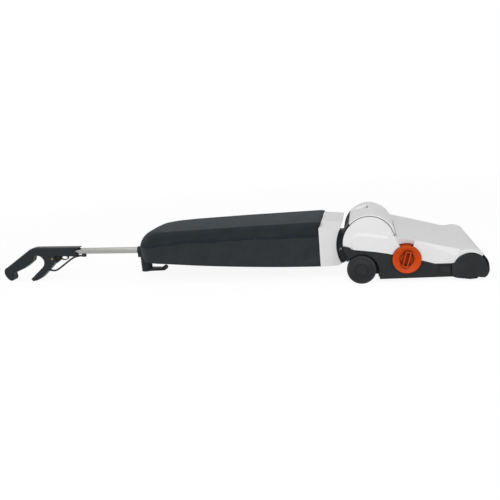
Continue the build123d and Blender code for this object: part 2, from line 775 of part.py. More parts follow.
with BuildPart() as brush_bristles:
    for row in range(2):
        for n in range(tuft_stations):
            turn = 180 * row + 160 * n / (tuft_stations - 1)
            y = (n - (tuft_stations - 1) / 2) * tuft_pitch
            pocket = Plane(
                origin=(wheel_x + brush_x, y, brush_z),
                x_dir=(0, 1, 0),
                z_dir=(math.cos(math.radians(turn)), 0, math.sin(math.radians(turn))),
            )
            with BuildSketch(pocket.offset(11.02)):
                Rectangle(5.0, 4.0)
            extrude(amount=tuft_radius - 0.2 - 11.02)
brush_bristles.part.label = "brush_bristles"
export_step(brush_bristles.part, "parts/brush_bristles.step")

with BuildPart() as brush_bearings:
    for name, s in sides:
        with BuildSketch(side(s * 113.6)):
            disc(brush_axis, bearing_radius)
            disc(brush_axis, journal_radius + pin_gap, mode=Mode.SUBTRACT)
        extrude(amount=-s * 5.2)
brush_bearings.part.label = "brush_bearings"
export_step(brush_bearings.part, "parts/brush_bearings.step")

with BuildPart() as brush_pulley:
    with BuildSketch(side(belt_y - pulley_width / 2)):
        disc(brush_axis, brush_pulley_radius)
        disc(brush_axis, journal_radius, mode=Mode.SUBTRACT)
    extrude(amount=-pulley_width)
brush_pulley.part.label = "brush_pulley"
export_step(brush_pulley.part, "parts/brush_pulley.step")

with BuildPart() as motor_pulley:
    with BuildSketch(side(belt_y - pulley_width / 2)):
        disc(brush_motor_axis, motor_pulley_radius)
    extrude(amount=-pulley_width)
    with BuildSketch(side(42)):
        disc(brush_motor_axis, 4)
    extrude(amount=-(belt_y - 42))
motor_pulley.part.label = "motor_pulley"
export_step(motor_pulley.part, "parts/motor_pulley.step")

with BuildPart() as drive_belt:
    with BuildSketch(side(belt_y - belt_width / 2)):
        disc(brush_axis, brush_pulley_radius + 0.1 + belt_thickness)
        disc(brush_motor_axis, motor_pulley_radius + 0.1 + belt_thickness)
        make_hull()
    extrude(amount=-belt_width)
    with BuildSketch(side(belt_y - belt_width / 2 - 1)):
        disc(brush_axis, brush_pulley_radius + 0.1)
        disc(brush_motor_axis, motor_pulley_radius + 0.1)
        make_hull()
    extrude(amount=-belt_width - 2, mode=Mode.SUBTRACT)
drive_belt.part.label = "drive_belt"
export_step(drive_belt.part, "parts/drive_belt.step")

with BuildPart() as brush_motor:
    with BuildSketch(side(58)):
        disc(brush_motor_axis, brush_motor_radius)
    extrude(amount=120)
    fillet(brush_motor.edges().filter_by(GeomType.CIRCLE), 3)
    with BuildSketch(side(60)):
        disc(brush_motor_axis, 4 + pin_gap)
    extrude(amount=20, mode=Mode.SUBTRACT)
brush_motor.part.label = "brush_motor"
export_step(brush_motor.part, "parts/brush_motor.step")

with BuildPart() as motor_saddles:
    for y in (49, -41):
        with BuildSketch(side(y)):
            outline((104, floor_top), (108, 38), (156, 38), (160, floor_top))
            disc(brush_motor_axis, brush_motor_radius + 0.02, mode=Mode.SUBTRACT)
        extrude(amount=8)
motor_saddles.part.label = "motor_saddles"
export_step(motor_saddles.part, "parts/motor_saddles.step")

with BuildPart() as intake_duct:
    # channel along the left of the head
    with BuildSketch(side(66)):
        outline(
            (70, 66), (70, 97), (206, 60.0), (214, 57), (199, 43.5), (190, 43.5), (132, 51.5)
        )
        disc(brush_axis, chamber_radius + 2.8, mode=Mode.SUBTRACT)
    extrude(amount=-50)
    # flat chamber beside the swivelling drum
    with BuildSketch(side(104.6)):
        disc(hinge, 30)
        outline((19, 66), (19, 94), (72, 94), (72, 66))
    extrude(amount=-11.4)
    with BuildSketch(side(68)):
        outline((72, 68), (72, 94.3), (205, 58.1), (210, 56), (198.4, 45.5), (190, 45.5), (132, 53.6))
    extrude(amount=-46, mode=Mode.SUBTRACT)
    with BuildSketch(side(68)):
        outline((195, 45.5), (195, 56), (220, 56), (220, 45.5))
    extrude(amount=-46, mode=Mode.SUBTRACT)
    with BuildSketch(side(106.6)):
        disc(hinge, 28)
        outline((19, 68), (19, 92), (74, 92), (74, 68))
    extrude(amount=-7.4, mode=Mode.SUBTRACT)
    with BuildSketch(side(104)):
        disc(hinge, 24)
    extrude(amount=-4, mode=Mode.SUBTRACT)
intake_duct.part.label = "intake_duct"
export_step(intake_duct.part, "parts/intake_duct.step")

# ================================================================ release pedal
with BuildPart() as release_pedal:
    with BuildSketch(side(105)):
        disc((-6, 56), 6)
        outline((-6, 50.2), (-40, 43.0), (-64, 42.6), (-66, 45.6), (-42, 47.4), (-10, 60.4))
        disc((-6, 56), 2.5 + pin_gap, mode=Mode.SUBTRACT)
    extrude(amount=-11)
    # foot pad
    with BuildSketch(side(100)):
        outline((-64, 42.6), (-66.5, 46.2), (-43, 48.2), (-43, 43.0))
    extrude(amount=-36)
release_pedal.part.label = "release_pedal"
export_step(release_pedal.part, "parts/release_pedal.step")

with BuildPart() as pedal_pin:
    with BuildSketch(side(101)):
        disc((-6, 56), 2.5)
    extrude(amount=-18.5)
pedal_pin.part.label = "pedal_pin"
export_step(pedal_pin.part, "parts/pedal_pin.step")

# ================================================================ motor drum and neck
with BuildPart() as motor_hood:
    with BuildSketch(side(drum_left)):
        sector(hood_inner, drum_radius, hood_front_angle, hood_back_angle)
    extrude(amount=drum_left + skirt_right)
    # thicker wall under the upper scoop
    with BuildSketch(side(26)):
        sector(51.2, hood_inner + 0.5, 84, 134)
    extrude(amount=68)
    # upper scoop: a ramp that deepens towards the front, where the latch sits
    with BuildSketch(side(16)):
        outline(polar(62, 90), polar(54.2, 90), polar(57.5, 131), polar(68, 114))
    extrude(amount=53, mode=Mode.SUBTRACT)
    # slot of the hood latch in the deep end of the scoop
    with BuildSketch(side(2)):
        outline((14, 143.5), (14, 147.6), (24, 147.6), (24, 143.5))
    extrude(amount=26, mode=Mode.SUBTRACT)
    # lower scoop, a shallow lens
    with Locations((wheel_x + hinge_x, -98, hinge_z + drum_radius + 420 - 1.9)):
        Sphere(420, mode=Mode.SUBTRACT)
    # corner notch that passes the right wheel as the machine stands up
    with BuildSketch(side(-(wheel_face - wheel_width - 0.5))):
        sector(hood_inner - 1, drum_radius + 1, hood_front_angle - 1, wheel_pass_angle)
    extrude(amount=30, mode=Mode.SUBTRACT)
motor_hood.part.label = "motor_hood"
export_step(motor_hood.part, "parts/motor_hood.step")

with BuildPart() as hood_latch:
    # sliding finger catch
    with BuildSketch(side(1.6)):
        outline((16.6, 143.9), (16.6, 147.2), (23.6, 147.2), (23.6, 143.9))
        outline((16.6, 146), (16.6, 148.2), (18.6, 148.2), (18.6, 146))
    extrude(amount=25.2)
hood_latch.part.label = "hood_latch"
export_step(hood_latch.part, "parts/hood_latch.step")

with BuildPart() as swivel_neck:
    with BuildSketch(side(drum_left)):
        sector(neck_inner, drum_radius, hood_back_angle + 0.3, 360 + hood_front_angle - 0.6)
    extrude(amount=drum_left + drum_right)
    with BuildSketch(side(-drum_right)):
        sector(neck_inner, drum_radius, hood_back_angle + 0.3, 217)
    extrude(amount=skirt_right - drum_right)
    # end walls
    with BuildSketch(side(drum_left)):
        disc(hinge, hood_inner - 0.3)
    extrude(amount=3)
    with BuildSketch(side(-drum_right + 3)):
        disc(hinge, hood_inner - 0.3)
    extrude(amount=3)
    # block that carries the body
    with BuildSketch(side(0)):
        with BuildLine():
            Polyline(polar(53.4, 236), (-32, 40), (-40, 34.6), (-44.3, 34.6))
            ThreePointArc((-44.3, 34.6), (-52.5, 58.0), (-53.7, 82.0))
            Polyline((-53.7, 82.0), polar(53.4, 190.7))
            ThreePointArc(polar(53.4, 190.7), polar(53.4, 210), polar(53.4, 236))
        make_face()
    extrude(amount=88, both=True)
    with BuildSketch(side(0)):
        with BuildLine():
            Polyline(polar(50, 228), (-34, 44), (-43, 42))
            ThreePointArc((-43, 42), (-49.0, 60.0), (-49.9, 78.0))
            Polyline((-49.9, 78.0), polar(50, 196))
            ThreePointArc(polar(50, 196), polar(50, 210), polar(50, 228))
        make_face()
    extrude(amount=84, both=True, mode=Mode.SUBTRACT)
    # ribbed horn at its right end
    with BuildSketch(side(-62)):
        outline((-33.5, 79), (-53.3, 79), (-53.1, 84), (-51.1, 95), (-47.8, 105), (-32.2, 105))
    extrude(amount=26)
    for z in (86.5, 91.0, 95.5, 100.0):
        with BuildSketch(side(-86.4)):
            outline((-60, z), (-60, z + 2.3), (-38.6, z + 2.3), (-38.6, z))
        extrude(amount=6, mode=Mode.SUBTRACT)
    with BuildSketch(side(drum_left - 3)):
        disc(hinge, neck_inner)
    extrude(amount=drum_left + drum_right - 6, mode=Mode.SUBTRACT)
    # smaller drum of the air duct, and its hollow trunnion
    with BuildSketch(side(drum_left)):
        disc(hinge, duct_radius)
    extrude(amount=-(duct_left - drum_left))
    with BuildSketch(side(duct_left - 1)):
        disc(hinge, duct_trunnion_radius)
    extrude(amount=-8)
    with BuildSketch(side(drum_left)):
        disc(hinge, duct_radius - 4)
    extrude(amount=-(duct_left - drum_left - 3), mode=Mode.SUBTRACT)
    with BuildSketch(side(drum_left - 5)):
        disc(hinge, duct_trunnion_radius - 4)
    extrude(amount=-62, mode=Mode.SUBTRACT)
    # right trunnion
    with BuildSketch(side(-drum_right)):
        disc(hinge, trunnion_radius)
    extrude(amount=20.2)
    with BuildSketch(side(-drum_right + 4)):
        disc(hinge, 6)
    extrude(amount=30, mode=Mode.SUBTRACT)
    # window of the exhaust grille and air port towards the bag
    with BuildSketch(side(40)):
        sector(neck_inner - 1, drum_radius + 1, 138.0, 150.0)
    extrude(amount=140, mode=Mode.SUBTRACT)
    with BuildSketch(across(-60)):
        with Locations((45, 60)):
            Circle(16)
    extrude(amount=14, mode=Mode.SUBTRACT)
swivel_neck.part.label = "swivel_neck"
export_step(swivel_neck.part, "parts/swivel_neck.step")

with BuildPart() as exhaust_grille:
    with BuildSketch(side(39.8)):
        sector(neck_inner + 0.2, drum_radius - 0.5, 138.2, 149.8)
    extrude(amount=139.6)
    for n in range(23):
        with BuildSketch(side(35.5 - 6 * n)):
            sector(neck_inner - 2, drum_radius + 2, 139.6, 148.4)
        extrude(amount=3, mode=Mode.SUBTRACT)
exhaust_grille.part.label = "exhaust_grille"
export_step(exhaust_grille.part, "parts/exhaust_grille.step")

with BuildPart() as exhaust_filter:
    with BuildSketch(side(38)):
        sector(50.4, neck_inner - 0.1, 137.8, 150.2)
    extrude(amount=136)
exhaust_filter.part.label = "exhaust_filter"
export_step(exhaust_filter.part, "parts/exhaust_filter.step")

with BuildPart() as suction_motor:
    with BuildSketch(side(-10)):
        disc(hinge, 38)
    extrude(amount=90)
    fillet(suction_motor.edges().filter_by(GeomType.CIRCLE), 3)
    with BuildSketch(side(-10)):
        disc(hinge, 4 + pin_gap)
    extrude(amount=20, mode=Mode.SUBTRACT)
suction_motor.part.label = "suction_motor"
export_step(suction_motor.part, "parts/suction_motor.step")

with BuildPart() as motor_mounts:
    for y in (-91, -24):
        with BuildSketch(side(y)):
            disc(hinge, neck_inner - 0.1)
            disc(hinge, 38.02, mode=Mode.SUBTRACT)
            sector(50.2, 60, 137.0, 151.0, mode=Mode.SUBTRACT)
            sector(50.9, 60, 82, 136, mode=Mode.SUBTRACT)
        extrude(amount=6)
motor_mounts.part.label = "motor_mounts"
export_step(motor_mounts.part, "parts/motor_mounts.step")

with BuildPart() as fan_housing:
    with BuildSketch(side(44)):
        disc(hinge, 50)
    extrude(amount=53.9)
    with BuildSketch(side(41.5)):
        disc(hinge, 47.5)
    extrude(amount=48.9, mode=Mode.SUBTRACT)
    with BuildSketch(side(46)):
        disc(hinge, 22)
    extrude(amount=8, mode=Mode.SUBTRACT)
    with BuildSketch(side(-4)):
        disc(hinge, 10)
    extrude(amount=8, mode=Mode.SUBTRACT)
fan_housing.part.label = "fan_housing"
export_step(fan_housing.part, "parts/fan_housing.step")

with BuildPart() as fan_wheel:
    with BuildSketch(side(26)):
        disc(hinge, 45)
        disc(hinge, 21, mode=Mode.SUBTRACT)
    extrude(amount=1.6)
    with BuildSketch(side(9)):
        disc(hinge, 45)
    extrude(amount=1.6)
    with BuildSketch(side(28)):
        disc(hinge, 4)
    extrude(amount=28 + 26)
    for n in range(8):
        with BuildSketch(side(26)):
            with Locations(polar(33, 45 * n)):
                Rectangle(22, 1.6, rotation=45 * n + 30)
        extrude(amount=18)
fan_wheel.part.label = "fan_wheel"
export_step(fan_wheel.part, "parts/fan_wheel.step")

# ================================================================ bag base, bag and tube
with BuildPart() as bag_base:
    with BuildSketch(side(0)):
        with BuildLine():
            Polyline(
                (-44.4, 34.0), (-53, 30.4), (bag_front_x, bag_bottom_z), (bag_front_x, 117),
                (-86, 131), (-38.6, 125.6), (-46.0, 110.6),
            )
            ThreePointArc((-46.0, 110.6), (-54.2, 77.2), (-44.4, 34.0))
        make_face()
    extrude(amount=body_half_width, both=True)
    # soft facets along both upper edges
    for name, s in sides:
        with BuildSketch(across(-100)):
            outline((s * 62, 132.8), (s * 96, 119.6), (s * 96, 150), (s * 62, 150))
        extrude(amount=90, dir=(1, 0, -0.118), mode=Mode.SUBTRACT)
    # hollow, closed by a wall towards the bag
    with BuildSketch(side(0)):
        with BuildLine():
            Polyline((-48.4, 38.0), (-54, 34), (-88.5, 33.5), (-88.5, 108), (-50.5, 108))
            ThreePointArc((-50.5, 108), (-57.8, 77.2), (-48.4, 38.0))
        make_face()
    extrude(amount=body_half_width - 3.5, both=True, mode=Mode.SUBTRACT)
    # socket of the handle tube
    with BuildSketch(along_tube(-66)):
        Circle(tube_radius + 4)
    extrude(amount=26)
    with BuildSketch(along_tube(-70)):
        Circle(tube_radius + 0.05)
    extrude(amount=30, mode=Mode.SUBTRACT)
    # air ports
    with BuildSketch(across(-95)):
        with Locations((0, 92)):
            Circle(18.1)
    extrude(amount=12, mode=Mode.SUBTRACT)
    with BuildSketch(across(-60)):
        with Locations((45, 60)):
            Circle(16)
    extrude(amount=12, mode=Mode.SUBTRACT)
bag_base.part.label = "bag_base"
export_step(bag_base.part, "parts/bag_base.step")

with BuildPart() as bag_port:
    with BuildSketch(across(-84.5)):
        with Locations((0, 92)):
            Circle(18)
            Circle(15.5, mode=Mode.SUBTRACT)
    extrude(amount=-26)
    with BuildSketch(across(bag_front_x - 0.1)):
        with Locations((0, 92)):
            Circle(25)
            Circle(15.5, mode=Mode.SUBTRACT)
    extrude(amount=-2)
    with BuildSketch(along_tube(-88)):
        Circle(tube_radius + 0.5)
    extrude(amount=20, mode=Mode.SUBTRACT)
bag_port.part.label = "bag_port"
export_step(bag_port.part, "parts/bag_port.step")

tray_bottom = (
    (-233, 34.0), (-304, 38.0), (-387, 44.0), (bag_end_x + 69, 51.5), (bag_end_x + 30, 54.2),
)
with BuildPart() as bag_tray:
    with BuildSketch(side(0)):
        with BuildLine():
            Line((bag_front_x, seam_z), (bag_front_x, bag_bottom_z))
            Spline((bag_front_x, bag_bottom_z), *tray_bottom)
            ThreePointArc(tray_bottom[-1], (bag_end_x + 14.5, 60.5), (bag_end_x + 8.5, 74.0))
            Polyline(
                (bag_end_x + 8.5, 74.0), (bag_end_x + 2.5, 87.5), (bag_end_x + 20, 91.6),
                (bag_end_x + 140, seam_z - 0.6), (bag_front_x, seam_z),
            )
        make_face()
    extrude(amount=body_half_width, both=True)
    with BuildSketch(level(0)):
        outline((bag_front_x + 5, -body_half_width), (bag_front_x + 5, body_half_width),
                (bag_end_x, body_half_width), (bag_end_x, -body_half_width))
        fillet(vertices().sort_by(Axis.X)[0:2], bag_corner)
    extrude(amount=200, mode=Mode.INTERSECT)
    # inside of the tray
    with BuildSketch(side(0)):
        with BuildLine():
            Polyline(
                (bag_end_x + bag_corner, 54.3), (bag_end_x + bag_corner, 140), (bag_front_x + 5, 140),
                (bag_front_x + 5, bag_bottom_z + bag_wall), (bag_front_x, bag_bottom_z + bag_wall),
            )
            Spline(
                (bag_front_x, bag_bottom_z + bag_wall), (-233, 36.2), (-304, 40.2), (-387, 46.2),
                (bag_end_x + 69, 53.8), (bag_end_x + bag_corner, 54.3),
            )
        make_face()
    extrude(amount=body_half_width - bag_wall, both=True, mode=Mode.SUBTRACT)
    with BuildSketch(side(0)):
        with BuildLine():
            Polyline(
                (bag_end_x + 11.5, 74.0), (bag_end_x + 5.6, 87.5), (bag_end_x + 5.6, 140),
                (bag_end_x + 66, 140), (bag_end_x + 66, 55.4),
            )
            Spline(
                (bag_end_x + 66, 55.4), (bag_end_x + 32, 57.6), (bag_end_x + 17.4, 62.4),
                (bag_end_x + 11.5, 74.0),
            )
        make_face()
    extrude(amount=body_half_width - bag_corner, both=True, mode=Mode.SUBTRACT)
    # passage of the handle tube
    with BuildSketch(along_tube(bag_end_x + 100)):
        Circle(tube_radius + soft_gap)
    extrude(amount=120, mode=Mode.SUBTRACT)
bag_tray.part.label = "bag_tray"
export_step(bag_tray.part, "parts/bag_tray.step")

with BuildPart() as bag_cover:
    gap_x = bag_front_x - soft_gap
    with BuildSketch(side(0)):
        with BuildLine():
            Polyline((gap_x, seam_z + soft_gap), (gap_x, 117), (-86.3, bag_top_z))
            Spline(
                (-86.3, bag_top_z), (-278, 130.0), (bag_end_x + 108, 127.0), (bag_end_x + 34, 125.2),
            )
            ThreePointArc((bag_end_x + 34, 125.2), (bag_end_x + 11.8, 109.0), (bag_end_x, 87.8))
            Polyline(
                (bag_end_x, 87.8), (bag_end_x + 20, 91.6 + soft_gap),
                (bag_end_x + 140, seam_z - 0.6 + soft_gap),
                (gap_x, seam_z + soft_gap),
            )
        make_face()
    extrude(amount=body_half_width, both=True)
    with BuildSketch(level(0)):
        outline((bag_front_x + 9, -body_half_width), (bag_front_x + 9, body_half_width),
                (bag_end_x, body_half_width), (bag_end_x, -body_half_width))
        fillet(vertices().sort_by(Axis.X)[0:2], bag_corner)
    extrude(amount=200, mode=Mode.INTERSECT)
    # inside of the soft cover
    with BuildSketch(side(0)):
        with BuildLine():
            Polyline((gap_x + 1, 60), (gap_x + 1, 117), (-88.6, bag_top_z - bag_wall))
            Spline(
                (-88.6, bag_top_z - bag_wall), (-278, 130.0 - bag_wall),
                (bag_end_x + 108, 127.0 - bag_wall),
                (bag_end_x + bag_corner, 126.0 - bag_wall),
            )
            Polyline(
                (bag_end_x + bag_corner, 126.0 - bag_wall), (bag_end_x + bag_corner, 60), (gap_x + 1, 60),
            )
        make_face()
    extrude(amount=body_half_width - bag_wall, both=True, mode=Mode.SUBTRACT)
    with BuildSketch(side(0)):
        with BuildLine():
            Polyline(
                (bag_end_x + 66, 60), (bag_end_x + 66, 125.7 - bag_wall),
                (bag_end_x + 35, 125.0 - bag_wall),
            )
            ThreePointArc(
                (bag_end_x + 35, 125.0 - bag_wall), (bag_end_x + 13.8, 107.8), (bag_end_x + bag_wall, 87.8)
            )
            Polyline((bag_end_x + bag_wall, 87.8), (bag_end_x + bag_wall, 60), (bag_end_x + 66, 60))
        make_face()
    extrude(amount=body_half_width - bag_corner, both=True, mode=Mode.SUBTRACT)
bag_cover.part.label = "bag_cover"
export_step(bag_cover.part, "parts/bag_cover.step")

with BuildPart() as dust_bag:
    with BuildSketch(side(0)):
        with BuildLine():
            Spline(
                (-111, 92), (-125, 116), (-200, 121), (bag_end_x + 140, 118), (bag_end_x + 88, 113),
                (bag_end_x + 74, 96),
            )
            Spline(
                (bag_end_x + 74, 96), (bag_end_x + 88, 80), (bag_end_x + 140, 79), (-200, 76.5),
                (-125, 77), (-111, 92),
            )
        make_face()
    extrude(amount=80, both=True)
dust_bag.part.label = "dust_bag"
export_step(dust_bag.part, "parts/dust_bag.step")

with BuildPart() as handle_tube:
    tube_length = (-72 - (handle_x - 45)) * math.hypot(1, tube_rise)
    with BuildSketch(along_tube(-72)):
        Circle(tube_radius)
        Circle(tube_radius - tube_wall, mode=Mode.SUBTRACT)
    extrude(amount=tube_length)
handle_tube.part.label = "handle_tube"
export_step(handle_tube.part, "parts/handle_tube.step")

with BuildPart() as tube_collar:
    with BuildSketch(along_tube(bag_end_x - 0.4)):
        Circle(tube_radius + 2.2)
        Circle(tube_radius + 0.02, mode=Mode.SUBTRACT)
    extrude(amount=24.8)
    chamfer(tube_collar.faces().sort_by(Axis.X)[0].outer_wire().edges(), 0.8)
tube_collar.part.label = "tube_collar"
export_step(tube_collar.part, "parts/tube_collar.step")

with BuildPart() as hook_base:
    # bracket that hangs from the collar under the end of the tray
    with BuildSketch(side(0)):
        outline((bag_end_x - 24.8, 52), (bag_end_x - 24.8, 66), (bag_end_x - 1, 66), (bag_end_x - 1, 52))
    extrude(amount=8, both=True)
    with BuildSketch(level(48.4)):
        with Locations((hook_x, 0)):
            Circle(hook_radius)
    extrude(amount=15.6)
    with BuildSketch(along_tube(bag_end_x + 10)):
        Circle(tube_radius + 2.25)
    extrude(amount=50, mode=Mode.SUBTRACT)
    with BuildSketch(level(47)):
        with Locations((hook_x, 0)):
            Circle(4 + pin_gap)
    extrude(amount=7, mode=Mode.SUBTRACT)
hook_base.part.label = "hook_base"
export_step(hook_base.part, "parts/hook_base.step")

with BuildPart() as cord_hook:
    with BuildSketch(level(14.4)):
        with Locations((hook_x, 0)):
            Circle(hook_radius)
    extrude(amount=33.6)
    with BuildSketch(level(14.4)):
        with Locations((hook_x, 0)):
            Circle(4)
    extrude(amount=38.1)
    with BuildSketch(side(0)):
        with BuildLine():
            Polyline((hook_x, 22.0), (hook_x + 15.5, 21.8), (hook_x + 42.5, 20.4))
            ThreePointArc((hook_x + 42.5, 20.4), (hook_x + 53.1, 17.4), (hook_x + 47.5, 14.4))
            Polyline((hook_x + 47.5, 14.4), (hook_x, 14.4), (hook_x, 22.0))
        make_face()
    extrude(amount=9, both=True)
    chamfer(cord_hook.edges().filter_by(GeomType.CIRCLE).sort_by(Axis.Z)[-3:-2], 0.3)
cord_hook.part.label = "cord_hook"
export_step(cord_hook.part, "parts/cord_hook.step")

# ================================================================ handle and its cord
lead_points = (
    (-835.5, 34.4), (-811.5, 19.0), (-783.0, 35.6), (-753.0, 55.6), (-734.0, 61.8), (-715.0, 61.9),
)


def lead_edges():
    """Centre line of the link lead: straight runs with tangent arcs."""
    path = [Vector(wheel_x + x, 0, z) for x, z in lead_points]
    runs = [(b - a).length for a, b in zip(path, path[1:])]
    radii = []
    for n in range(1, len(path) - 1):
        before = (path[n] - path[n - 1]).normalized()
        after = (path[n + 1] - path[n]).normalized()
        half_turn = math.radians(before.get_angle(after)) / 2
        radii.append(0.45 * min(runs[n - 1], runs[n]) / math.tan(half_turn))
    return path, radii


boot_radius = 4.0
boot = Plane(origin=(wheel_x + handle_x - 53.3, 0, 48.2), x_dir=(0, 1, 0), z_dir=(23, 0, 12))
screws = ((-58.5, 58.6, -1), (-160, 45, 1))      # x, z and the side of the head
handle_outline_top = ((21.5, 85.6), (-104, 90.2), (-113, 89.2), (-120, 86.5), (-195, 40.2))
for name, s in sides:
    with BuildPart() as handle_half:
        with BuildSketch(side(0)):
            with BuildLine():
                Polyline(*[(handle_x + x, z) for x, z in handle_outline_top])
                Spline(*[(handle_x + x, z) for x, z in (
                    (-195, 40.2), (-203, 34.4), (-205.2, 26.5), (-202.4, 16.3), (-196, 7.5),
                    (-188.7, 3.5), (-181.5, 5.4), (-178.6, 11.2), (-179.3, 20.8), (-175.4, 26.4))])
                Spline(*[(handle_x + x, z) for x, z in (
                    (-175.4, 26.4), (-164.7, 28.3), (-150.8, 33.7), (-136.8, 40.6), (-124.1, 49),
                    (-117, 55), (-113.4, 63.2), (-109, 67.6), (-102.5, 69), (-94, 66.8),
                    (-87.2, 60.6), (-83.9, 50.5), (-85.8, 43), (-90, 37.2))])
                Polyline(
                    (handle_x - 90, 37.2), (handle_x - 129.5, 5.6), (handle_x - 124.5, 0.1)
                )
                Spline(*[(handle_x + x, z) for x, z in (
                    (-124.5, 0.1), (-113, 1.6), (-103.3, 5.4), (-92.4, 13.2), (-72, 30.3),
                    (-55, 47.0), (-50, 54.0))])
                Polyline(*[(handle_x + x, z) for x, z in (
                    (-50, 54.0), (-50, 65.2), (-26, 65.0), (-7, 62.8), (7.5, 61.4), (13.2, 66.3),
                    (7.2, 76.5), (21.5, 85.6))])
            make_face()
        extrude(amount=-s * handle_half_width)
        outer = handle_half.faces().sort_by(Axis.Y)[0 if s < 0 else -1]
        chamfer(outer.edges(), 3.0)
        # bore for the tube, pocket for the switch, channel for the lead
        with BuildSketch(along_tube(handle_x + 30)):
            Circle(tube_radius + 0.05)
        extrude(amount=76, mode=Mode.SUBTRACT)
        with BuildSketch(side(0)):
            outline((handle_x - 52, 70), (handle_x - 52, 81), (handle_x - 112, 83.5),
                    (handle_x - 116, 74))
        extrude(amount=9, both=True, mode=Mode.SUBTRACT)
        if s > 0:
            with BuildSketch(side(5)):
                with Locations((handle_x - 92, 78)):
                    Rectangle(20, 8.6)
            extrude(amount=-20, mode=Mode.SUBTRACT)
        with BuildSketch(Plane(
            origin=(wheel_x + lead_points[0][0], 0, lead_points[0][1]), x_dir=(0, 1, 0),
            z_dir=(lead_points[1][0] - lead_points[0][0], 0, lead_points[1][1] - lead_points[0][1]),
        ).offset(-0.5)):
            Circle(lead_radius + 0.3)
        extrude(amount=30, mode=Mode.SUBTRACT)
        # groove for the lead under the front end
        with BuildSketch(side(0)):
            outline((handle_x - 6, 50), (handle_x - 6, 61.6), (handle_x + 3, 65.2),
                    (handle_x + 30, 65.2), (handle_x + 30, 50))
        extrude(amount=lead_radius + 0.6, both=True, mode=Mode.SUBTRACT)
        # seat of the strain boot
        with BuildSketch(boot):
            Circle(boot_radius + soft_gap)
        extrude(amount=20, mode=Mode.SUBTRACT)
        # bores for the two screws, which go in from opposite sides
        with BuildSketch(side(0)):
            with Locations(*[(handle_x + x, z) for x, z, head in screws]):
                Circle(1.6)
        extrude(amount=20, both=True, mode=Mode.SUBTRACT)
        with BuildSketch(side(s * (handle_half_width - 1.2))):
            with Locations(*[(handle_x + x, z) for x, z, head in screws if head == s]):
                Circle(3.1)
        extrude(amount=-s * 5, mode=Mode.SUBTRACT)
    handle_half.part.label = "handle_" + name
    export_step(handle_half.part, "parts/handle_" + name + ".step")

with BuildPart() as handle_screws:
    for x, z, head in screws:
        with BuildSketch(side(head * (handle_half_width - 1.2))):
            with Locations((handle_x + x, z)):
                Circle(3.0)
        extrude(amount=-head * 0.8)
        with BuildSketch(side(head * (handle_half_width - 1.2))):
            with Locations((handle_x + x, z)):
                Circle(1.55)
        extrude(amount=head * 20)
handle_screws.part.label = "handle_screws"
export_step(handle_screws.part, "parts/handle_screws.step")

with BuildPart() as power_switch:
    # rocker with an obtuse face
    with BuildSketch(level(78 - 4)):
        outline(
            (handle_x - 101, handle_half_width - 2.6), (handle_x - 92, handle_half_width + 0.6),
            (handle_x - 83, handle_half_width - 2.6), (handle_x - 85, 6.5), (handle_x - 99, 6.5),
        )
    extrude(amount=8)
    # pivot bore
    with BuildSketch(level(73)):
        with Locations((handle_x - 92, 8.5)):
            Circle(1.2)
    extrude(amount=10, mode=Mode.SUBTRACT)
power_switch.part.label = "power_switch"
export_step(power_switch.part, "parts/power_switch.step")

with BuildPart() as cord_inlet:
    with BuildSketch(side(-7)):
        outline((handle_x - 49.9, 57.0), (handle_x - 49.9, 64.9), (handle_x - 39, 64.9),
                (handle_x - 39, 58.0))
    extrude(amount=-14)
    fillet(cord_inlet.edges().filter_by(Axis.Y), 0.8)
    with BuildSketch(boot):
        Circle(boot_radius + soft_gap)
    extrude(amount=20, mode=Mode.SUBTRACT)
cord_inlet.part.label = "cord_inlet"
export_step(cord_inlet.part, "parts/cord_inlet.step")

with BuildPart() as strain_boot:
    # tapered rubber boot that leaves the horn below the inlet
    with BuildSketch(boot):
        Circle(boot_radius)
    with BuildSketch(boot.offset(16.8)):
        Circle(boot_radius - 1)
    loft(ruled=True)
    with BuildSketch(boot.offset(8)):
        Circle(1.6)
    extrude(amount=20, mode=Mode.SUBTRACT)
strain_boot.part.label = "strain_boot"
export_step(strain_boot.part, "parts/strain_boot.step")

with BuildPart() as cord_clip:
    # rubber ring that parks the cord under the handle
    with BuildSketch(side(2.5)):
        with Locations((handle_x - 27.4, 58.4)):
            Ellipse(11, 6.4)
            Ellipse(8.4, 4.0, mode=Mode.SUBTRACT)
    extrude(amount=5)
cord_clip.part.label = "cord_clip"
export_step(cord_clip.part, "parts/cord_clip.step")

with BuildPart() as lead_gland:
    with BuildSketch(across(-722)):
        with Locations((0, 61.9)):
            Circle(3.9)
            Circle(lead_radius + 0.3, mode=Mode.SUBTRACT)
    extrude(amount=10)
lead_gland.part.label = "lead_gland"
export_step(lead_gland.part, "parts/lead_gland.step")

with BuildPart() as link_lead:
    path, radii = lead_edges()
    print("link lead radii", [round(r, 1) for r in radii])
    with BuildLine() as lead_line:
        FilletPolyline(*path, radius=radii)
    with BuildSketch(Plane(origin=path[0], x_dir=(0, 1, 0), z_dir=path[1] - path[0])):
        Circle(lead_radius)
    sweep(path=lead_line.line)
    print("link lead length", round(sum(e.length for e in lead_line.edges()), 1))
link_lead.part.label = "link_lead"
export_step(link_lead.part, "parts/link_lead.step")
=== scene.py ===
"""Finishes, soft parts and studio for a bag upright vacuum cleaner laid flat on the floor."""

import json

import bpy
import numpy as np
from mathutils import Matrix, Vector


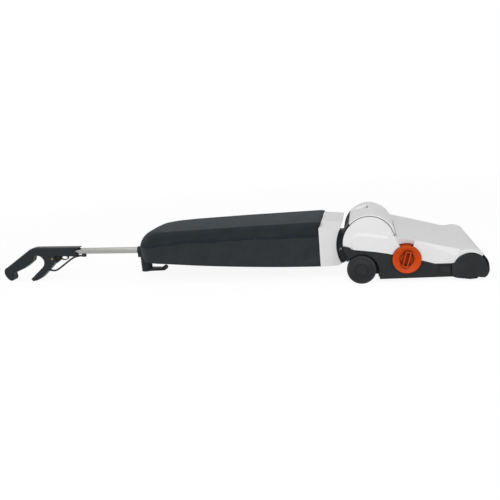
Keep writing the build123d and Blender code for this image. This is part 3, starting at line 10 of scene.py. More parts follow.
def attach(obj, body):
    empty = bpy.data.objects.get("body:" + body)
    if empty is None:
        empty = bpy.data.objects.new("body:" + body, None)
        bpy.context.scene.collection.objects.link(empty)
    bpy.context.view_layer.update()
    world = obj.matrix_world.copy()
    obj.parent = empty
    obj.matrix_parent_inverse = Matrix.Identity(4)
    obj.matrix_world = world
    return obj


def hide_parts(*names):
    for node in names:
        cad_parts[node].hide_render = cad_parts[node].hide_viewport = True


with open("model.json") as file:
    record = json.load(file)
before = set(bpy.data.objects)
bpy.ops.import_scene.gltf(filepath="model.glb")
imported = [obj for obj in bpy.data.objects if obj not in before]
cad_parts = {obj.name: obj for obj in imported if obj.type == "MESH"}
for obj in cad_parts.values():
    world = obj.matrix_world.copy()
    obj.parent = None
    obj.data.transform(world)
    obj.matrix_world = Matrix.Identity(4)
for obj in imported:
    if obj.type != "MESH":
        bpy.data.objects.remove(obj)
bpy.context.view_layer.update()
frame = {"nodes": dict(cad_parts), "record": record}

bl_info = {
    "name": "Bag Upright Finishes",
    "version": (1, 0, 0),
    "blender": (4, 5, 0),
    "location": "3D View > Sidebar > Upright",
    "description": "Finishes, cloth cover, brush, lead and studio for a bag upright vacuum cleaner",
    "category": "Object",
}

AXLE_X = 0.34335  # the rear axle along the machine's length, in metres
AXLE_HEIGHT = 0.0314

# studio, in metres; the camera's place in millimetres from the rear axle
LAMP_AIM = (0, 0, 0.08)
FRONT_LAMP = ((0.3, -2.3, 1.25), (2.8, 1.5))  # place and size
TOP_LAMP = ((-0.1, -0.5, 2.2), (2.6, 1.2))
FLOOR_REACH = 9.0
FLOOR_GLOW = 0.91  # the part of its white that a shadow can't take
FLOOR_SHADE = 0.13  # the part that a shadow takes
SHADE_FADES = (0.9, 2.2)  # distances between which the shadow fades out
SKY_TILT = 0.9  # how much height counts as "behind"
SKY_DIMS = (0.15, 0.95)  # from here to there the sky dims
SENSOR_WIDTH = 36  # millimetres
CAMERA_SPOT = (18.84, -1430.90, 365.27)
CAMERA_RIGHT = (0.97969, 0.18053, -0.08728)
CAMERA_UP = (0.04618, 0.22047, 0.97430)
CAMERA_AHEAD = (-0.19513, 0.95854, -0.20765)

# link lead: its length in metres and its route in millimetres from the rear axle
LEAD_ROUTE = ((-835.5, 0, 34.4), (-811.5, 0, 19.0), (-783.0, 0, 35.6), (-753.0, 0, 55.6),
              (-734.0, 0, 61.8), (-715.0, 0, 61.9))

# bag, in millimetres from the rear axle; a table's rows are places along the bag and values
BAG_FRONT = -93.0
BAG_END = -539.6
END_POWER = 3.1  # of the superellipse that closes the bag, seen from above
DROP_START = -494.0  # from here the top falls towards the end
DROP_POWER = 1.9  # of the superellipse along which it falls
COVER_EDGE = ((-540.0, 88.2), (-520.0, 92.2), (-400.0, 100.3), (-280.0, 100.9), (-92.0, 100.9))
COVER_TOP = ((-540.0, 125.0), (-506.0, 126.4), (-432.0, 128.2), (-278.0, 130.6), (-86.0, 132.0))
CORNER_BEND = ((-540.0, 34.0), (-510.0, 26.0), (-470.0, 13.0), (-420.0, 9.0), (-330.0, 7.5),
               (-92.0, 8.5))  # height of the rounded corner
CORNER_REACH = ((-540.0, 2.4), (-510.0, 1.8), (-470.0, 1.2), (-420.0, 1.0), (-92.0, 1.0))
COVER_STATIONS = 170
SIDE_STEPS, CORNER_STEPS, TOP_POINTS = 16, 12, 25

# folds of each half: share, length, slant and start, then length and start of the slow wave
FOLDS = (((1.0, 23.0, 5.0, 1.3, 61.0, 0.0), (0.6, 13.7, -7.0, 0.0, 47.0, 2.0)),
         ((1.0, 27.0, 4.0, 0.4, 71.0, 1.0), (0.6, 15.1, -6.0, 0.0, 39.0, 0.0)))
FOLD_FADES = 14.0  # length over which the folds start at the front
TOP_FOLD = 0.4  # most that a fold lifts the top

# front of the cover: it leans forward over the base and its last millimetres tuck under
LEAN, LEAN_LENGTH, LEAN_FROM, LEAN_HEIGHT = 6.2, 16.0, 121.7, 9.3
TUCK_IN, TUCK_DOWN, TUCK_LENGTH, TUCK_FROM, TUCK_HEIGHT = 0.018, 1.8, 4.0, 105.0, 20.0

# hem of the cover, in millimetres
HEM_LIFT = 1.7  # from the cover's edge to the hem's middle
HEM_DEPTH = 0.75
HEM_GIRTH = 0.012  # the cloth's own measure round the hem, in metres
HEM_SIDES = 14
CLOTH_THREADS = 620.0  # threads per metre

# paper dust bag, in millimetres from the rear axle
SACK_FRONT = -114.0
SACK_LENGTH = 350.0
SACK_HALF_WIDTH = 78.0
SACK_HALF_HEIGHT, SACK_THINS = 20.5, 3.0
SACK_LEVEL, SACK_SINKS = 98.6, 0.012
SACK_PLEAT = 5.0

# brush roller, in millimetres
BRUSH_AXIS = (227.0, 28.0)
TUFT_STATIONS = 16
TUFT_PITCH = 14.0
TUFT_FOOT = 11.5
TUFT_TIP = 27.4
TUFT_TWIST = 160.0  # degrees that a row turns from one end to the other
SOCKET = (2.1, 1.6)  # half a tuft's foot along and round the roller

# height knob, in millimetres
KNOB_AXIS = (96.0, 50.5)
KNOB_FLANGE = 140.05
NUMERAL_RING = 31.5
NUMERAL_TURN = 45.0  # degrees from one number to the next
NUMERAL_SIZE = 0.0032  # metres

# wire clip on the neck and cross drives of the handle's screws, painted as flat dark crosses of
# shade, in millimetres
CLIP_RADIUS = 0.75
CLIP_BENDS = ((-47.0, -88.4, 63.0), (-47.0, -89.6, 64.0), (-46.6, -89.8, 67.5),
              (-45.0, -89.9, 69.4), (-43.2, -89.8, 69.0), (-42.8, -89.6, 66.0),
              (-43.0, -88.4, 64.6))
SCREWS = ((-803.5, 58.6, -1), (-905.0, 45.0, 1))  # place, and the side that the head is on
SCREW_FACE = 12.62
DRIVE_ARM, DRIVE_HALF_WIDTH = 1.44, 0.36

# colours used more than once
PAPER = (0.52, 0.45, 0.34)
LEAD_BLACK = (0.012, 0.013, 0.015)
INK = (0.05, 0.012, 0.006)


# ---------- sizes and colours to change


def number_setting(label, words, value, **more):
    """A number that the sidebar shows."""
    return bpy.props.FloatProperty(name=label, description=words, default=value, **more)


def length_setting(label, words, value):
    """A length, in metres, that the sidebar shows."""
    return number_setting(label, words, value, unit="LENGTH")


def colour_setting(label, words, value):
    """A colour that the sidebar shows."""
    return bpy.props.FloatVectorProperty(
        name=label, description=words, subtype="COLOR", default=value, min=0, max=1)


class UprightStage(bpy.types.PropertyGroup):
    """Floor, lamps and camera."""

    floor_colour: colour_setting("Floor", "Colour of the floor", (0.80, 0.80, 0.80))
    front_power: number_setting("Front lamp", "Power of the lamp in front", 29.0, unit="POWER")
    top_power: number_setting("Top lamp", "Power of the lamp overhead", 8.0, unit="POWER")
    sky_strength: number_setting("Sky", "Strength of the even light", 0.55, min=0, max=2)
    back_strength: number_setting("Back sky", "Strength high up behind", 0.26, min=0, max=2)
    lens: number_setting("Lens", "Focal length of the camera", 43.2, unit="CAMERA")


class UprightCover(bpy.types.PropertyGroup):
    """Cloth cover of the bag and the hem along its edge."""

    half_width: length_setting("Half width", "From the middle of the bag to its side", 0.0951)
    end_length: length_setting("End length", "Length over which the end rounds off", 0.074)
    crown: length_setting("Crown", "Rise of the cloth between its edges", 0.0012)
    slack: length_setting("Slack", "Depth of the long soft folds", 0.0007)
    cloth_gauge: length_setting("Cloth", "Thickness of the cloth", 0.0009)
    hem_height: length_setting("Hem", "Half the height of the gathered hem", 0.0036)
    cloth_colour: colour_setting("Cloth colour", "Colour of the woven cover", (0.021, 0.027, 0.031))
    hem_colour: colour_setting("Hem colour", "Colour of the gathered hem", (0.017, 0.023, 0.031))


class UprightLead(bpy.types.PropertyGroup):
    """Short lead between the cord horn and the tube."""

    diameter: length_setting("Diameter", "Thickness of the lead", 0.0048)


class UprightBrush(bpy.types.PropertyGroup):
    """Bristles of the brush roller."""

    strands: bpy.props.IntProperty(
        name="Strands", description="Bristles in each tuft", default=60, min=10, max=200)
    strand_gauge: length_setting("Strand", "Thickness of one bristle", 0.00032)
    splay: length_setting("Splay", "How far a tuft opens at its tip", 0.0013)


class UprightFinishes(bpy.types.PropertyGroup):
    """Colours of the mouldings and metals."""

    white: colour_setting("White plastic", "Colour of the pale mouldings", (0.82, 0.82, 0.825))
    dark: colour_setting("Dark plastic", "Colour of the dark mouldings", (0.0105, 0.0122, 0.0140))
    grip: colour_setting("Handle plastic", "Colour of the handle", (0.014, 0.018, 0.022))
    orange: colour_setting("Knob plastic", "Colour of the height knob", (0.62, 0.066, 0.004))
    rubber: colour_setting("Rubber", "Colour of tyres and grommets", (0.011, 0.013, 0.0145))
    tray: colour_setting("Tray shell", "Colour of the tray under the bag", (0.017, 0.021, 0.024))
    tube: colour_setting("Tube", "Colour of the polished metal tube", (0.36, 0.365, 0.345))


# ---------- small helpers


def along(x, y, z):
    """A point given from the rear axle in millimetres, as metres in the machine's own frame."""
    return (AXLE_X + x / 1000.0, y / 1000.0, z / 1000.0)


def in_frame(points):
    """Millimetres from the rear axle, as metres in the machine's own frame, for a whole array."""
    return np.asarray(points, float) / 1000.0 + np.array([AXLE_X, 0.0, 0.0])


def reading(table, x):
    """Reads between the rows of a table of places and values."""
    rows = np.array(table)
    return np.interp(x, rows[:, 0], rows[:, 1])


def held(value):
    """A share kept between nothing and all."""
    return np.clip(value, 0.0, 1.0)


def walked(points):
    """The way walked along a row of points, from nothing at the first."""
    return np.concatenate([[0], np.cumsum(np.linalg.norm(np.diff(points, axis=0), axis=-1))])


def clear_nodes(owner):
    """Turns nodes on for a material or a world, and empties its tree."""
    owner.use_nodes = True
    owner.node_tree.nodes.clear()
    return owner.node_tree


def net_mesh(name, net, ring=False, capped=False):
    """A surface given on a net of points: four neighbours of the net make a face.

    ring joins the last column of the net to the first, and capped closes the first and the
    last row with one face each.
    """
    rows, columns = net.shape[:2]
    index = np.arange(rows * columns).reshape(rows, columns)
    ends = [index[0].tolist(), index[-1, ::-1].tolist()] if capped else []
    if ring:
        index = np.hstack([index, index[:, :1]])
    faces = np.stack([index[:-1, :-1], index[1:, :-1], index[1:, 1:], index[:-1, 1:]], axis=-1)
    mesh = bpy.data.meshes.new(name)
    mesh.from_pydata(net.reshape(-1, 3).tolist(), [], faces.reshape(-1, 4).tolist() + ends)
    mesh.polygons.foreach_set("use_smooth", np.ones(len(mesh.polygons), bool))
    mesh.update()
    return mesh


def cloth_map(mesh, measure):
    """Lays the cloth's own measure, in metres along and across, on the corners of a net's faces."""
    layer = mesh.uv_layers.new(name="cloth")
    vertex = np.empty(len(mesh.loops), int)
    mesh.loops.foreach_get("vertex_index", vertex)
    layer.data.foreach_set("uv", measure.reshape(-1, 2)[vertex].ravel())


def in_scene(name, data):
    """A new object of the scene, with its mesh, curve, lamp or camera."""
    thing = bpy.data.objects.new(name, data)
    bpy.context.scene.collection.objects.link(thing)
    return thing


def place(name, mesh, body, material):
    """Puts a finished mesh into the scene as a piece that rides on a body."""
    piece = in_scene(name, mesh)
    mesh.materials.append(material)
    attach(piece, body)
    return piece


def carried(path, radius_a, radius_b, lean, sides):
    """An oval profile carried along a path.

    At each point of the path the profile's two axes are the lean direction given there and the
    cross product of the path's own direction with it; the oval's radii may change along the path.
    """
    ahead = np.gradient(path, axis=0)
    ahead /= np.linalg.norm(ahead, axis=1, keepdims=True)
    lean = lean - (lean * ahead).sum(axis=1, keepdims=True) * ahead
    lean /= np.linalg.norm(lean, axis=1, keepdims=True)
    across = np.cross(ahead, lean)
    turn = np.linspace(0, 2 * np.pi, sides, endpoint=False)
    a = np.broadcast_to(radius_a, len(path))[:, None, None]
    b = np.broadcast_to(radius_b, len(path))[:, None, None]
    return (path[:, None, :]
            + a * np.cos(turn)[None, :, None] * lean[:, None, :]
            + b * np.sin(turn)[None, :, None] * across[:, None, :])


# ---------- effects shared by finishes


class Bench:
    """Places and joins nodes in one tree, a material's or a group's."""

    def __init__(self, tree):
        self.tree = tree

    def join(self, value, socket):
        """Sets an input to a number, or joins it to another node's socket."""
        if isinstance(value, bpy.types.NodeSocket):
            self.tree.links.new(value, socket)
        else:
            socket.default_value = value

    def add(self, kind, inputs=None, **settings):
        """A new node with its settings, and each input set to a number or joined to a socket."""
        node = self.tree.nodes.new(kind)
        for key, value in settings.items():
            setattr(node, key, value)
        for key, value in (inputs or {}).items():
            self.join(value, node.inputs[key])
        return node

    def places(self):
        """The place on the surface, in each of its frames."""
        return self.add("ShaderNodeTexCoord").outputs

    def math(self, operation, first, second=0.5, clamp=False):
        """The result of a step with one or two numbers."""
        return self.add("ShaderNodeMath", {0: first, 1: second}, operation=operation,
                        use_clamp=clamp).outputs[0]

    def times(self, first, second, clamp=False):
        """The product of two numbers."""
        return self.math("MULTIPLY", first, second, clamp)

    def spread(self, value, low, high, to_low, to_high):
        """A value taken from one span to another."""
        return self.add("ShaderNodeMapRange", {
            "Value": value, "From Min": low, "From Max": high, "To Min": to_low, "To Max": to_high,
        }).outputs[0]

    def blend(self, share, first, second):
        """Two colours mixed by a share."""
        return self.add("ShaderNodeMix", {0: share, 6: first, 7: second},
                        data_type="RGBA").outputs[2]

    def noise(self, spot, scale, detail, roughness=0.5):
        """Cloudy noise over a surface."""
        return self.add("ShaderNodeTexNoise", {
            "Vector": spot, "Scale": scale, "Detail": detail, "Roughness": roughness}).outputs[0]

    def cells(self, spot, scale):
        """Distance from the nearest of many scattered points."""
        return self.add("ShaderNodeTexVoronoi", {
            "Vector": spot, "Scale": scale}).outputs["Distance"]

    def split(self, spot):
        """The three numbers of a place."""
        return self.add("ShaderNodeSeparateXYZ", {0: spot}).outputs

    def distance(self, spot):
        """Distance of a point from the middle."""
        return self.add("ShaderNodeVectorMath", {0: spot}, operation="LENGTH").outputs["Value"]

    def surface(self, lit, seen, out):
        """One look for the light, another for what is seen straight, mirrored or through glass."""
        path = self.add("ShaderNodeLightPath").outputs
        straight = self.math("MAXIMUM", path["Is Camera Ray"], path["Is Glossy Ray"])
        straight = self.math("MAXIMUM", straight, path["Is Transmission Ray"])
        mix = self.add("ShaderNodeMixShader", {0: straight, 1: lit.outputs[0], 2: seen.outputs[0]})
        self.join(mix.outputs[0], out.inputs["Surface"])


class Effect(Bench):
    """One shader node group with named inputs, which gives out values and normals."""

    def __init__(self, name, **inputs):
        super().__init__(bpy.data.node_groups.new(name, "ShaderNodeTree"))
        for label, default in inputs.items():
            socket = self.open(label, "INPUT", label == "Vector")
            if default is not None:
                socket.default_value = default
        self.given = self.add("NodeGroupInput").outputs

    def open(self, label, way, vector):
        """A new input or output of the group, for a vector or a number."""
        kind = "NodeSocketVector" if vector else "NodeSocketFloat"
        return self.tree.interface.new_socket(name=label, in_out=way, socket_type=kind)

    def give(self, **results):
        """Gives each result out under its name, and hands back the group."""
        for label in results:
            self.open(label, "OUTPUT", label == "Normal")
        out = self.add("NodeGroupOutput")
        for label, value in results.items():
            self.join(value, out.inputs[label])
        return self.tree


def moulded_grain():
    """Fine spark-eroded grain of a moulding: close noise for height, broad noise for shade."""
    bench = Effect("moulded_grain", Scale=900.0, Mottle=0.06)
    spot, scale, mottle = bench.places()["Object"], bench.given["Scale"], bench.given["Mottle"]
    fine = bench.noise(spot, scale, 2.0, roughness=0.6)
    pits = bench.cells(spot, bench.times(scale, 0.7))
    height = bench.math("ADD", fine, bench.times(pits, 0.4))
    broad = bench.noise(spot, 21.0, 3.0)
    shade = bench.spread(broad, 0.3, 0.7, bench.math("SUBTRACT", 1.0, mottle),
                         bench.math("ADD", 1.0, mottle))
    return bench.give(Height=height, Shade=shade)


def edge_wear():
    """Rounded edges, and a mask of them: how far a softened normal leaves the true one, in patches.
    Finishes lighten the colour under the mask, partly as wear and partly as a painted edge
    highlight.
    """
    bench = Effect("edge_wear", Radius=0.0006, Gain=5.0)
    soft = bench.add("ShaderNodeBevel", {"Radius": bench.given["Radius"]}, samples=6).outputs[0]
    true = bench.add("ShaderNodeNewGeometry").outputs["Normal"]
    close = bench.add("ShaderNodeVectorMath", {0: soft, 1: true}, operation="DOT_PRODUCT")
    apart = bench.math("SUBTRACT", 1.0, close.outputs["Value"])
    patchy = bench.noise(bench.places()["Object"], 140.0, 3.0)
    mask = bench.times(bench.times(apart, bench.given["Gain"]), patchy, clamp=True)
    return bench.give(Mask=mask, Normal=soft)


def settled_dust():
    """Faint dust: more of it low down and in broad patches."""
    bench = Effect("settled_dust", Amount=0.15)
    spot = bench.places()["Object"]
    patchy = bench.spread(bench.noise(spot, 38.0, 5.0), 0.42, 0.8, 0.0, 1.0)
    low = bench.spread(bench.split(spot)[2], 0.0, 0.09, 1.0, 0.25)
    mask = bench.times(patchy, low)
    return bench.give(Mask=bench.times(mask, bench.given["Amount"], clamp=True))


def plain_weave():
    """Plain weave: threads along and across, each passing over the other in turn.

    The thread that lies on top changes with the sign of the product of the two waves.
    """
    bench = Effect("plain_weave", Vector=None, Threads=900.0)
    split = bench.split(bench.given["Vector"])
    turns = bench.times(bench.given["Threads"], 2 * np.pi)
    warp = bench.math("SINE", bench.times(split[0], turns))
    weft = bench.math("SINE", bench.times(split[1], turns))
    over = bench.spread(bench.times(warp, weft), -1.0, 1.0, 0.0, 1.0)
    slubs = bench.noise(bench.given["Vector"], 260.0, 4.0, roughness=0.7)
    height = bench.math("ADD", over, bench.times(slubs, 0.6))
    return bench.give(Height=height, Shade=bench.spread(slubs, 0.3, 0.7, 0.82, 1.18))


def drawn_metal():
    """Long fine scratches that drawing or turning leaves along one direction."""
    bench = Effect("drawn_metal", Vector=None, Depth=1.0)
    lines = bench.noise(bench.given["Vector"], 60.0, 6.0, roughness=0.7)
    spots = bench.noise(bench.given["Vector"], 9.0, 2.0)
    return bench.give(Height=bench.times(lines, bench.given["Depth"]),
                      Shade=bench.spread(spots, 0.3, 0.7, 0.92, 1.08))


class Finish(Bench):
    """One material: a Principled shader and the effects that feed it."""

    def __init__(self, name, roughness, metallic=0.0, specular=0.5, **more):
        self.material = bpy.data.materials.new(name)
        super().__init__(clear_nodes(self.material))
        out = self.add("ShaderNodeOutputMaterial")
        self.shader = self.add("ShaderNodeBsdfPrincipled", {
            "Roughness": roughness, "Metallic": metallic, "Specular IOR Level": specular})
        for key, value in more.items():
            self.shader.inputs[key.replace("_", " ").title()].default_value = value
        self.join(self.shader.outputs[0], out.inputs["Surface"])
        self.spot = self.places()

    def use(self, make, **inputs):
        """One of the shared effects, placed in this material with its own values."""
        node = self.add("ShaderNodeGroup")
        node.node_tree = bpy.data.node_groups.get(make.__name__) or make()
        for key, value in inputs.items():
            self.join(value, node.inputs[key.title()])
        return node.outputs

    def stretched(self, scale):
        """The place on the piece, drawn out more along one way than another."""
        return self.add("ShaderNodeMapping", {
            "Vector": self.spot["Object"], "Scale": scale}).outputs[0]

    def shaded(self, colour, shade):
        """A colour made lighter and darker by a shade that changes over the surface."""
        return self.add("ShaderNodeVectorMath", {0: colour, 1: shade},
                        operation="MULTIPLY").outputs[0]

    def weathered(self, colour, grain, mottle, bend, edge_gain, worn_and_highlit, dusty, dust_colour, speck=None):
        """Grain, edges lightened by wear and a painted highlight, and dust on a colour: the colour,
        height, normal and dust mask.
        """
        skin = self.use(moulded_grain, scale=grain, mottle=mottle)
        edges = self.use(edge_wear, radius=bend, gain=edge_gain)
        dust = self.use(settled_dust, amount=dusty)["Mask"]
        shade = self.times(skin["Shade"], speck) if speck else skin["Shade"]
        base = self.shaded(colour, shade)
        # edges blend towards a lighter colour: partly wear, partly a painted highlight
        edges_worn_and_lit = self.blend(edges["Mask"], base, solid(worn_and_highlit))
        return self.blend(dust, edges_worn_and_lit, solid(dust_colour)), skin["Height"], edges["Normal"], dust

    def coloured(self, colour):
        self.join(colour, self.shader.inputs["Base Color"])

    def roughened(self, value):
        self.join(value, self.shader.inputs["Roughness"])

    def bumped(self, height, distance, **normal):
        """Puts relief on the surface, over a normal where one is given: the finished material."""
        relief = self.add("ShaderNodeBump", {
            "Height": height, "Distance": distance, "Strength": 1.0, **normal})
        self.join(relief.outputs[0], self.shader.inputs["Normal"])
        return self.material


def solid(colour):
    """A colour with nothing seen through it."""
    return (*colour, 1.0)


def moulded(name, colour, roughness, specular, worn_and_highlit, dusty, grain=900.0, depth=0.00004,
            bend=0.0006, dust_colour=(0.30, 0.29, 0.27), mottle=0.05, edge_gain=4.0, painted_nook_shade=0.0):
    """Moulded plastic: grain, softened edges lightened by wear and a painted highlight, a little
    dust, and painted shade darkening the nooks.
    """
    finish = Finish(name, roughness, specular=specular)
    dusted, height, normal, dust = finish.weathered(
        colour, grain, mottle, bend, edge_gain, worn_and_highlit, dusty, dust_colour)
    if painted_nook_shade:
        # painted shade: ambient occlusion darkens the colour in nooks and recesses
        nook = finish.add("ShaderNodeAmbientOcclusion", {"Distance": 0.007}, samples=8)
        nook_shade_factor = finish.spread(nook.outputs["AO"], 0.35, 0.97, 1 - painted_nook_shade, 1.0)
        dusted = finish.shaded(dusted, nook_shade_factor)
    finish.coloured(dusted)
    grained = finish.spread(height, 0.3, 1.1, roughness - 0.05, roughness + 0.06)
    finish.roughened(finish.math("ADD", grained, finish.times(dust, 0.3), clamp=True))
    return finish.bumped(height, depth, Normal=normal)


def tyre_rubber(name, colour):
    """Tyres, rollers and grommets: matt rubber with fine cross ribs, and edges lightened by scuffs
    and a painted highlight.
    """
    finish = Finish(name, 0.62, specular=0.35)
    dusted, height, normal, _ = finish.weathered(
        colour, grain=700.0, mottle=0.10, bend=0.0008, edge_gain=5.0, worn_and_highlit=(0.06, 0.062, 0.065),
        dusty=0.30, dust_colour=(0.20, 0.19, 0.17))
    # ribs: a wave round the rear axle, kept near the tyre's own radius
    centred = finish.add("ShaderNodeMapping", {
        "Vector": finish.spot["Object"], "Location": (-AXLE_X, 0.0, -AXLE_HEIGHT)})
    split = finish.split(centred.outputs[0])
    turn = finish.math("ARCTAN2", split[2], split[0])
    ribs = finish.math("SINE", finish.times(turn, 60.0))
    flat = finish.add("ShaderNodeCombineXYZ", {0: split[0], 1: split[2]}).outputs[0]
    near = finish.spread(finish.distance(flat), 0.029, 0.0305, 0.0, 1.0)
    ribbed = finish.times(finish.spread(ribs, -0.4, 0.4, 0.0, 1.0), near)
    finish.coloured(dusted)
    return finish.bumped(finish.math("ADD", finish.times(ribbed, 6.0), height), 0.00006,
                         Normal=normal)


def polished_tube(name, colour):
    """Polished tube: fine drawing lines along its length and small dull spots."""
    finish = Finish(name, 0.16, metallic=1.0)
    lines = finish.use(drawn_metal, vector=finish.stretched((0.05, 9.0, 9.0)), depth=0.4)
    finish.coloured(finish.shaded(colour, finish.spread(lines["Shade"], 0.92, 1.08, 0.98, 1.02)))
    finish.roughened(finish.spread(lines["Height"], 0.1, 0.3, 0.20, 0.25))
    return finish.bumped(lines["Height"], 0.000001)


def bright_metal(name, colour, roughness, turned=(10.0, 1.0, 10.0)):
    """Pins, brackets and screws: turned or pressed metal with softened edges."""
    finish = Finish(name, roughness, metallic=1.0)
    lines = finish.use(drawn_metal, vector=finish.stretched(turned), depth=1.0)
    edges = finish.use(edge_wear, radius=0.0004, gain=4.0)
    finish.coloured(finish.shaded(colour, lines["Shade"]))
    finish.roughened(finish.spread(lines["Height"], 0.3, 0.7, roughness - 0.06, roughness + 0.08))
    return finish.bumped(lines["Height"], 0.00003, Normal=edges["Normal"])


def woven(name, colour, sheen):
    """Tightly woven cloth: threads in relief, slubs, a soft sheen and faint lint."""
    finish = Finish(name, 0.86, specular=0.12, sheen_weight=sheen, sheen_roughness=0.45,
                    sheen_tint=(0.75, 0.80, 0.86, 1))
    weave = finish.use(plain_weave, vector=finish.spot["UV"], threads=CLOTH_THREADS)
    broad = finish.noise(finish.spot["Object"], 26.0, 4.0)
    mottle = finish.spread(broad, 0.3, 0.7, 0.90, 1.10)
    base = finish.shaded(colour, finish.times(weave["Shade"], mottle))
    lint = finish.use(settled_dust, amount=0.05)["Mask"]
    finish.coloured(finish.blend(lint, base, (0.22, 0.22, 0.22, 1)))
    finish.roughened(finish.spread(weave["Height"], 0.0, 1.6, 0.80, 0.92))
    return finish.bumped(weave["Height"], 0.00012)


def grained_shell(name, colour):
    """The tray's thin shell: a coarse leathery grain, and soft edges lightened by wear and a
    painted highlight.
    """
    finish = Finish(name, 0.60, specular=0.22)
    speck = finish.spread(finish.noise(finish.spot["Object"], 300.0, 3.0), 0.3, 0.7, 0.86, 1.14)
    dusted, height, normal, _ = finish.weathered(
        colour, grain=420.0, mottle=0.09, bend=0.0012, edge_gain=3.0, worn_and_highlit=(0.07, 0.075, 0.08),
        dusty=0.08, dust_colour=(0.2, 0.2, 0.19), speck=speck)
    finish.coloured(dusted)
    finish.roughened(finish.spread(height, 0.3, 1.1, 0.52, 0.70))
    return finish.bumped(height, 0.0001, Normal=normal)


def filter_paper(name, colour):
    """Pleated filter paper and open foam: soft fibres and small pits."""
    finish = Finish(name, 0.92, specular=0.15)
    fibres = finish.noise(finish.spot["Object"], 520.0, 6.0, roughness=0.75)
    pits = finish.cells(finish.spot["Object"], 640.0)
    finish.coloured(finish.shaded(colour, finish.spread(fibres, 0.25, 0.75, 0.85, 1.12)))
    return finish.bumped(finish.math("ADD", fibres, pits), 0.00015)


def bristle_nylon(name, colour):
    """Glossy nylon filaments, each a little lighter or darker than the next."""
    finish = Finish(name, 0.38, specular=0.45)
    tint = finish.add("ShaderNodeAttribute", attribute_name="strand_shade").outputs["Fac"]
    finish.coloured(finish.shaded(colour, finish.spread(tint, 0.0, 1.0, 0.6, 1.7)))
    return finish.bumped(finish.noise(finish.spot["Object"], 800.0, 1.0), 0.00002)


def lead_jacket(name):
    """Flexible cord jacket: smooth and slightly waxy, with faint long ripples."""
    finish = Finish(name, 0.44, specular=0.4)
    ripple = finish.noise(finish.spot["Object"], 260.0, 3.0)
    finish.coloured(finish.shaded(LEAD_BLACK, finish.spread(ripple, 0.3, 0.7, 0.85, 1.2)))
    finish.roughened(finish.spread(ripple, 0.3, 0.7, 0.38, 0.52))
    return finish.bumped(ripple, 0.00005)


# ---------- the pieces


class UPRIGHT_OT_stage(bpy.types.Operator):
    """Set the pale floor, the two soft lamps, the world and the camera"""

    bl_idname = "upright.stage"
    bl_label = "Studio"

    def execute(self, context):
        options = context.scene.upright_stage
        scene = context.scene
        scene.view_settings.view_transform = "Standard"
        self.lay_floor(options)
        self.light_world(scene, options)
        self.hang_lamp("front_lamp", *FRONT_LAMP, options.front_power)
        self.hang_lamp("top_lamp", *TOP_LAMP, options.top_power)
        data = bpy.data.cameras.new("camera")
        data.lens = options.lens
        data.sensor_width = SENSOR_WIDTH
        camera = in_scene("camera", data)
        turn = Matrix((CAMERA_RIGHT, CAMERA_UP, -Vector(CAMERA_AHEAD))).transposed()
        camera.matrix_world = Matrix.Translation(along(*CAMERA_SPOT)) @ turn.to_4x4()
        scene.camera = camera
        return {"FINISHED"}

    def hang_lamp(self, name, spot, size, power):
        """A soft oblong lamp, aimed at the machine."""
        data = bpy.data.lights.new(name, "AREA")
        data.shape = "RECTANGLE"
        data.size, data.size_y = size
        data.energy = power
        lamp = in_scene(name, data)
        lamp.location = spot
        aim = Vector(LAMP_AIM) - Vector(spot)
        lamp.rotation_euler = aim.to_track_quat("-Z", "Y").to_euler()

    def lay_floor(self, options):
        """A large floor: it shows white with a faint shadow, and lights as a pale floor."""
        mesh = bpy.data.meshes.new("studio_floor")
        corners = np.array([(-1, -1, 0), (1, -1, 0), (1, 1, 0), (-1, 1, 0)]) * FLOOR_REACH
        mesh.from_pydata(corners.tolist(), [], [(0, 1, 2, 3)])
        floor = in_scene("studio_floor", mesh)
        material = bpy.data.materials.new("studio_floor")
        bench = Bench(clear_nodes(material))
        out = bench.add("ShaderNodeOutputMaterial")
        near = bench.spread(bench.distance(bench.places()["Object"]), *SHADE_FADES, 1.0, 0.0)
        glow = bench.add("ShaderNodeEmission", {"Strength": FLOOR_GLOW})
        faint = bench.add("ShaderNodeBsdfDiffuse", {"Color": solid([FLOOR_SHADE] * 3)})
        both = bench.add("ShaderNodeAddShader", {0: glow.outputs[0], 1: faint.outputs[0]})
        white = bench.add("ShaderNodeEmission", {"Strength": 1.0})
        seen = bench.add("ShaderNodeMixShader", {0: near, 1: white.outputs[0], 2: both.outputs[0]})
        lit = bench.add("ShaderNodeBsdfDiffuse", {"Color": solid(options.floor_colour)})
        bench.surface(lit, seen, out)
        mesh.materials.append(material)

    def light_world(self, scene, options):
        """A sky that shows white, lights softly all round, and is dim high up behind."""
        world = bpy.data.worlds.new("studio")
        scene.world = world
        bench = Bench(clear_nodes(world))
        out = bench.add("ShaderNodeOutputWorld")
        way = bench.split(bench.places()["Generated"])
        behind = bench.math("ADD", way[1], bench.times(way[2], SKY_TILT))
        strength = bench.spread(behind, *SKY_DIMS, options.sky_strength, options.back_strength)
        sky, white = (bench.add("ShaderNodeBackground", {"Color": (1, 1, 1, 1), "Strength": s})
                      for s in (strength, 1.0))
        bench.surface(sky, white, out)


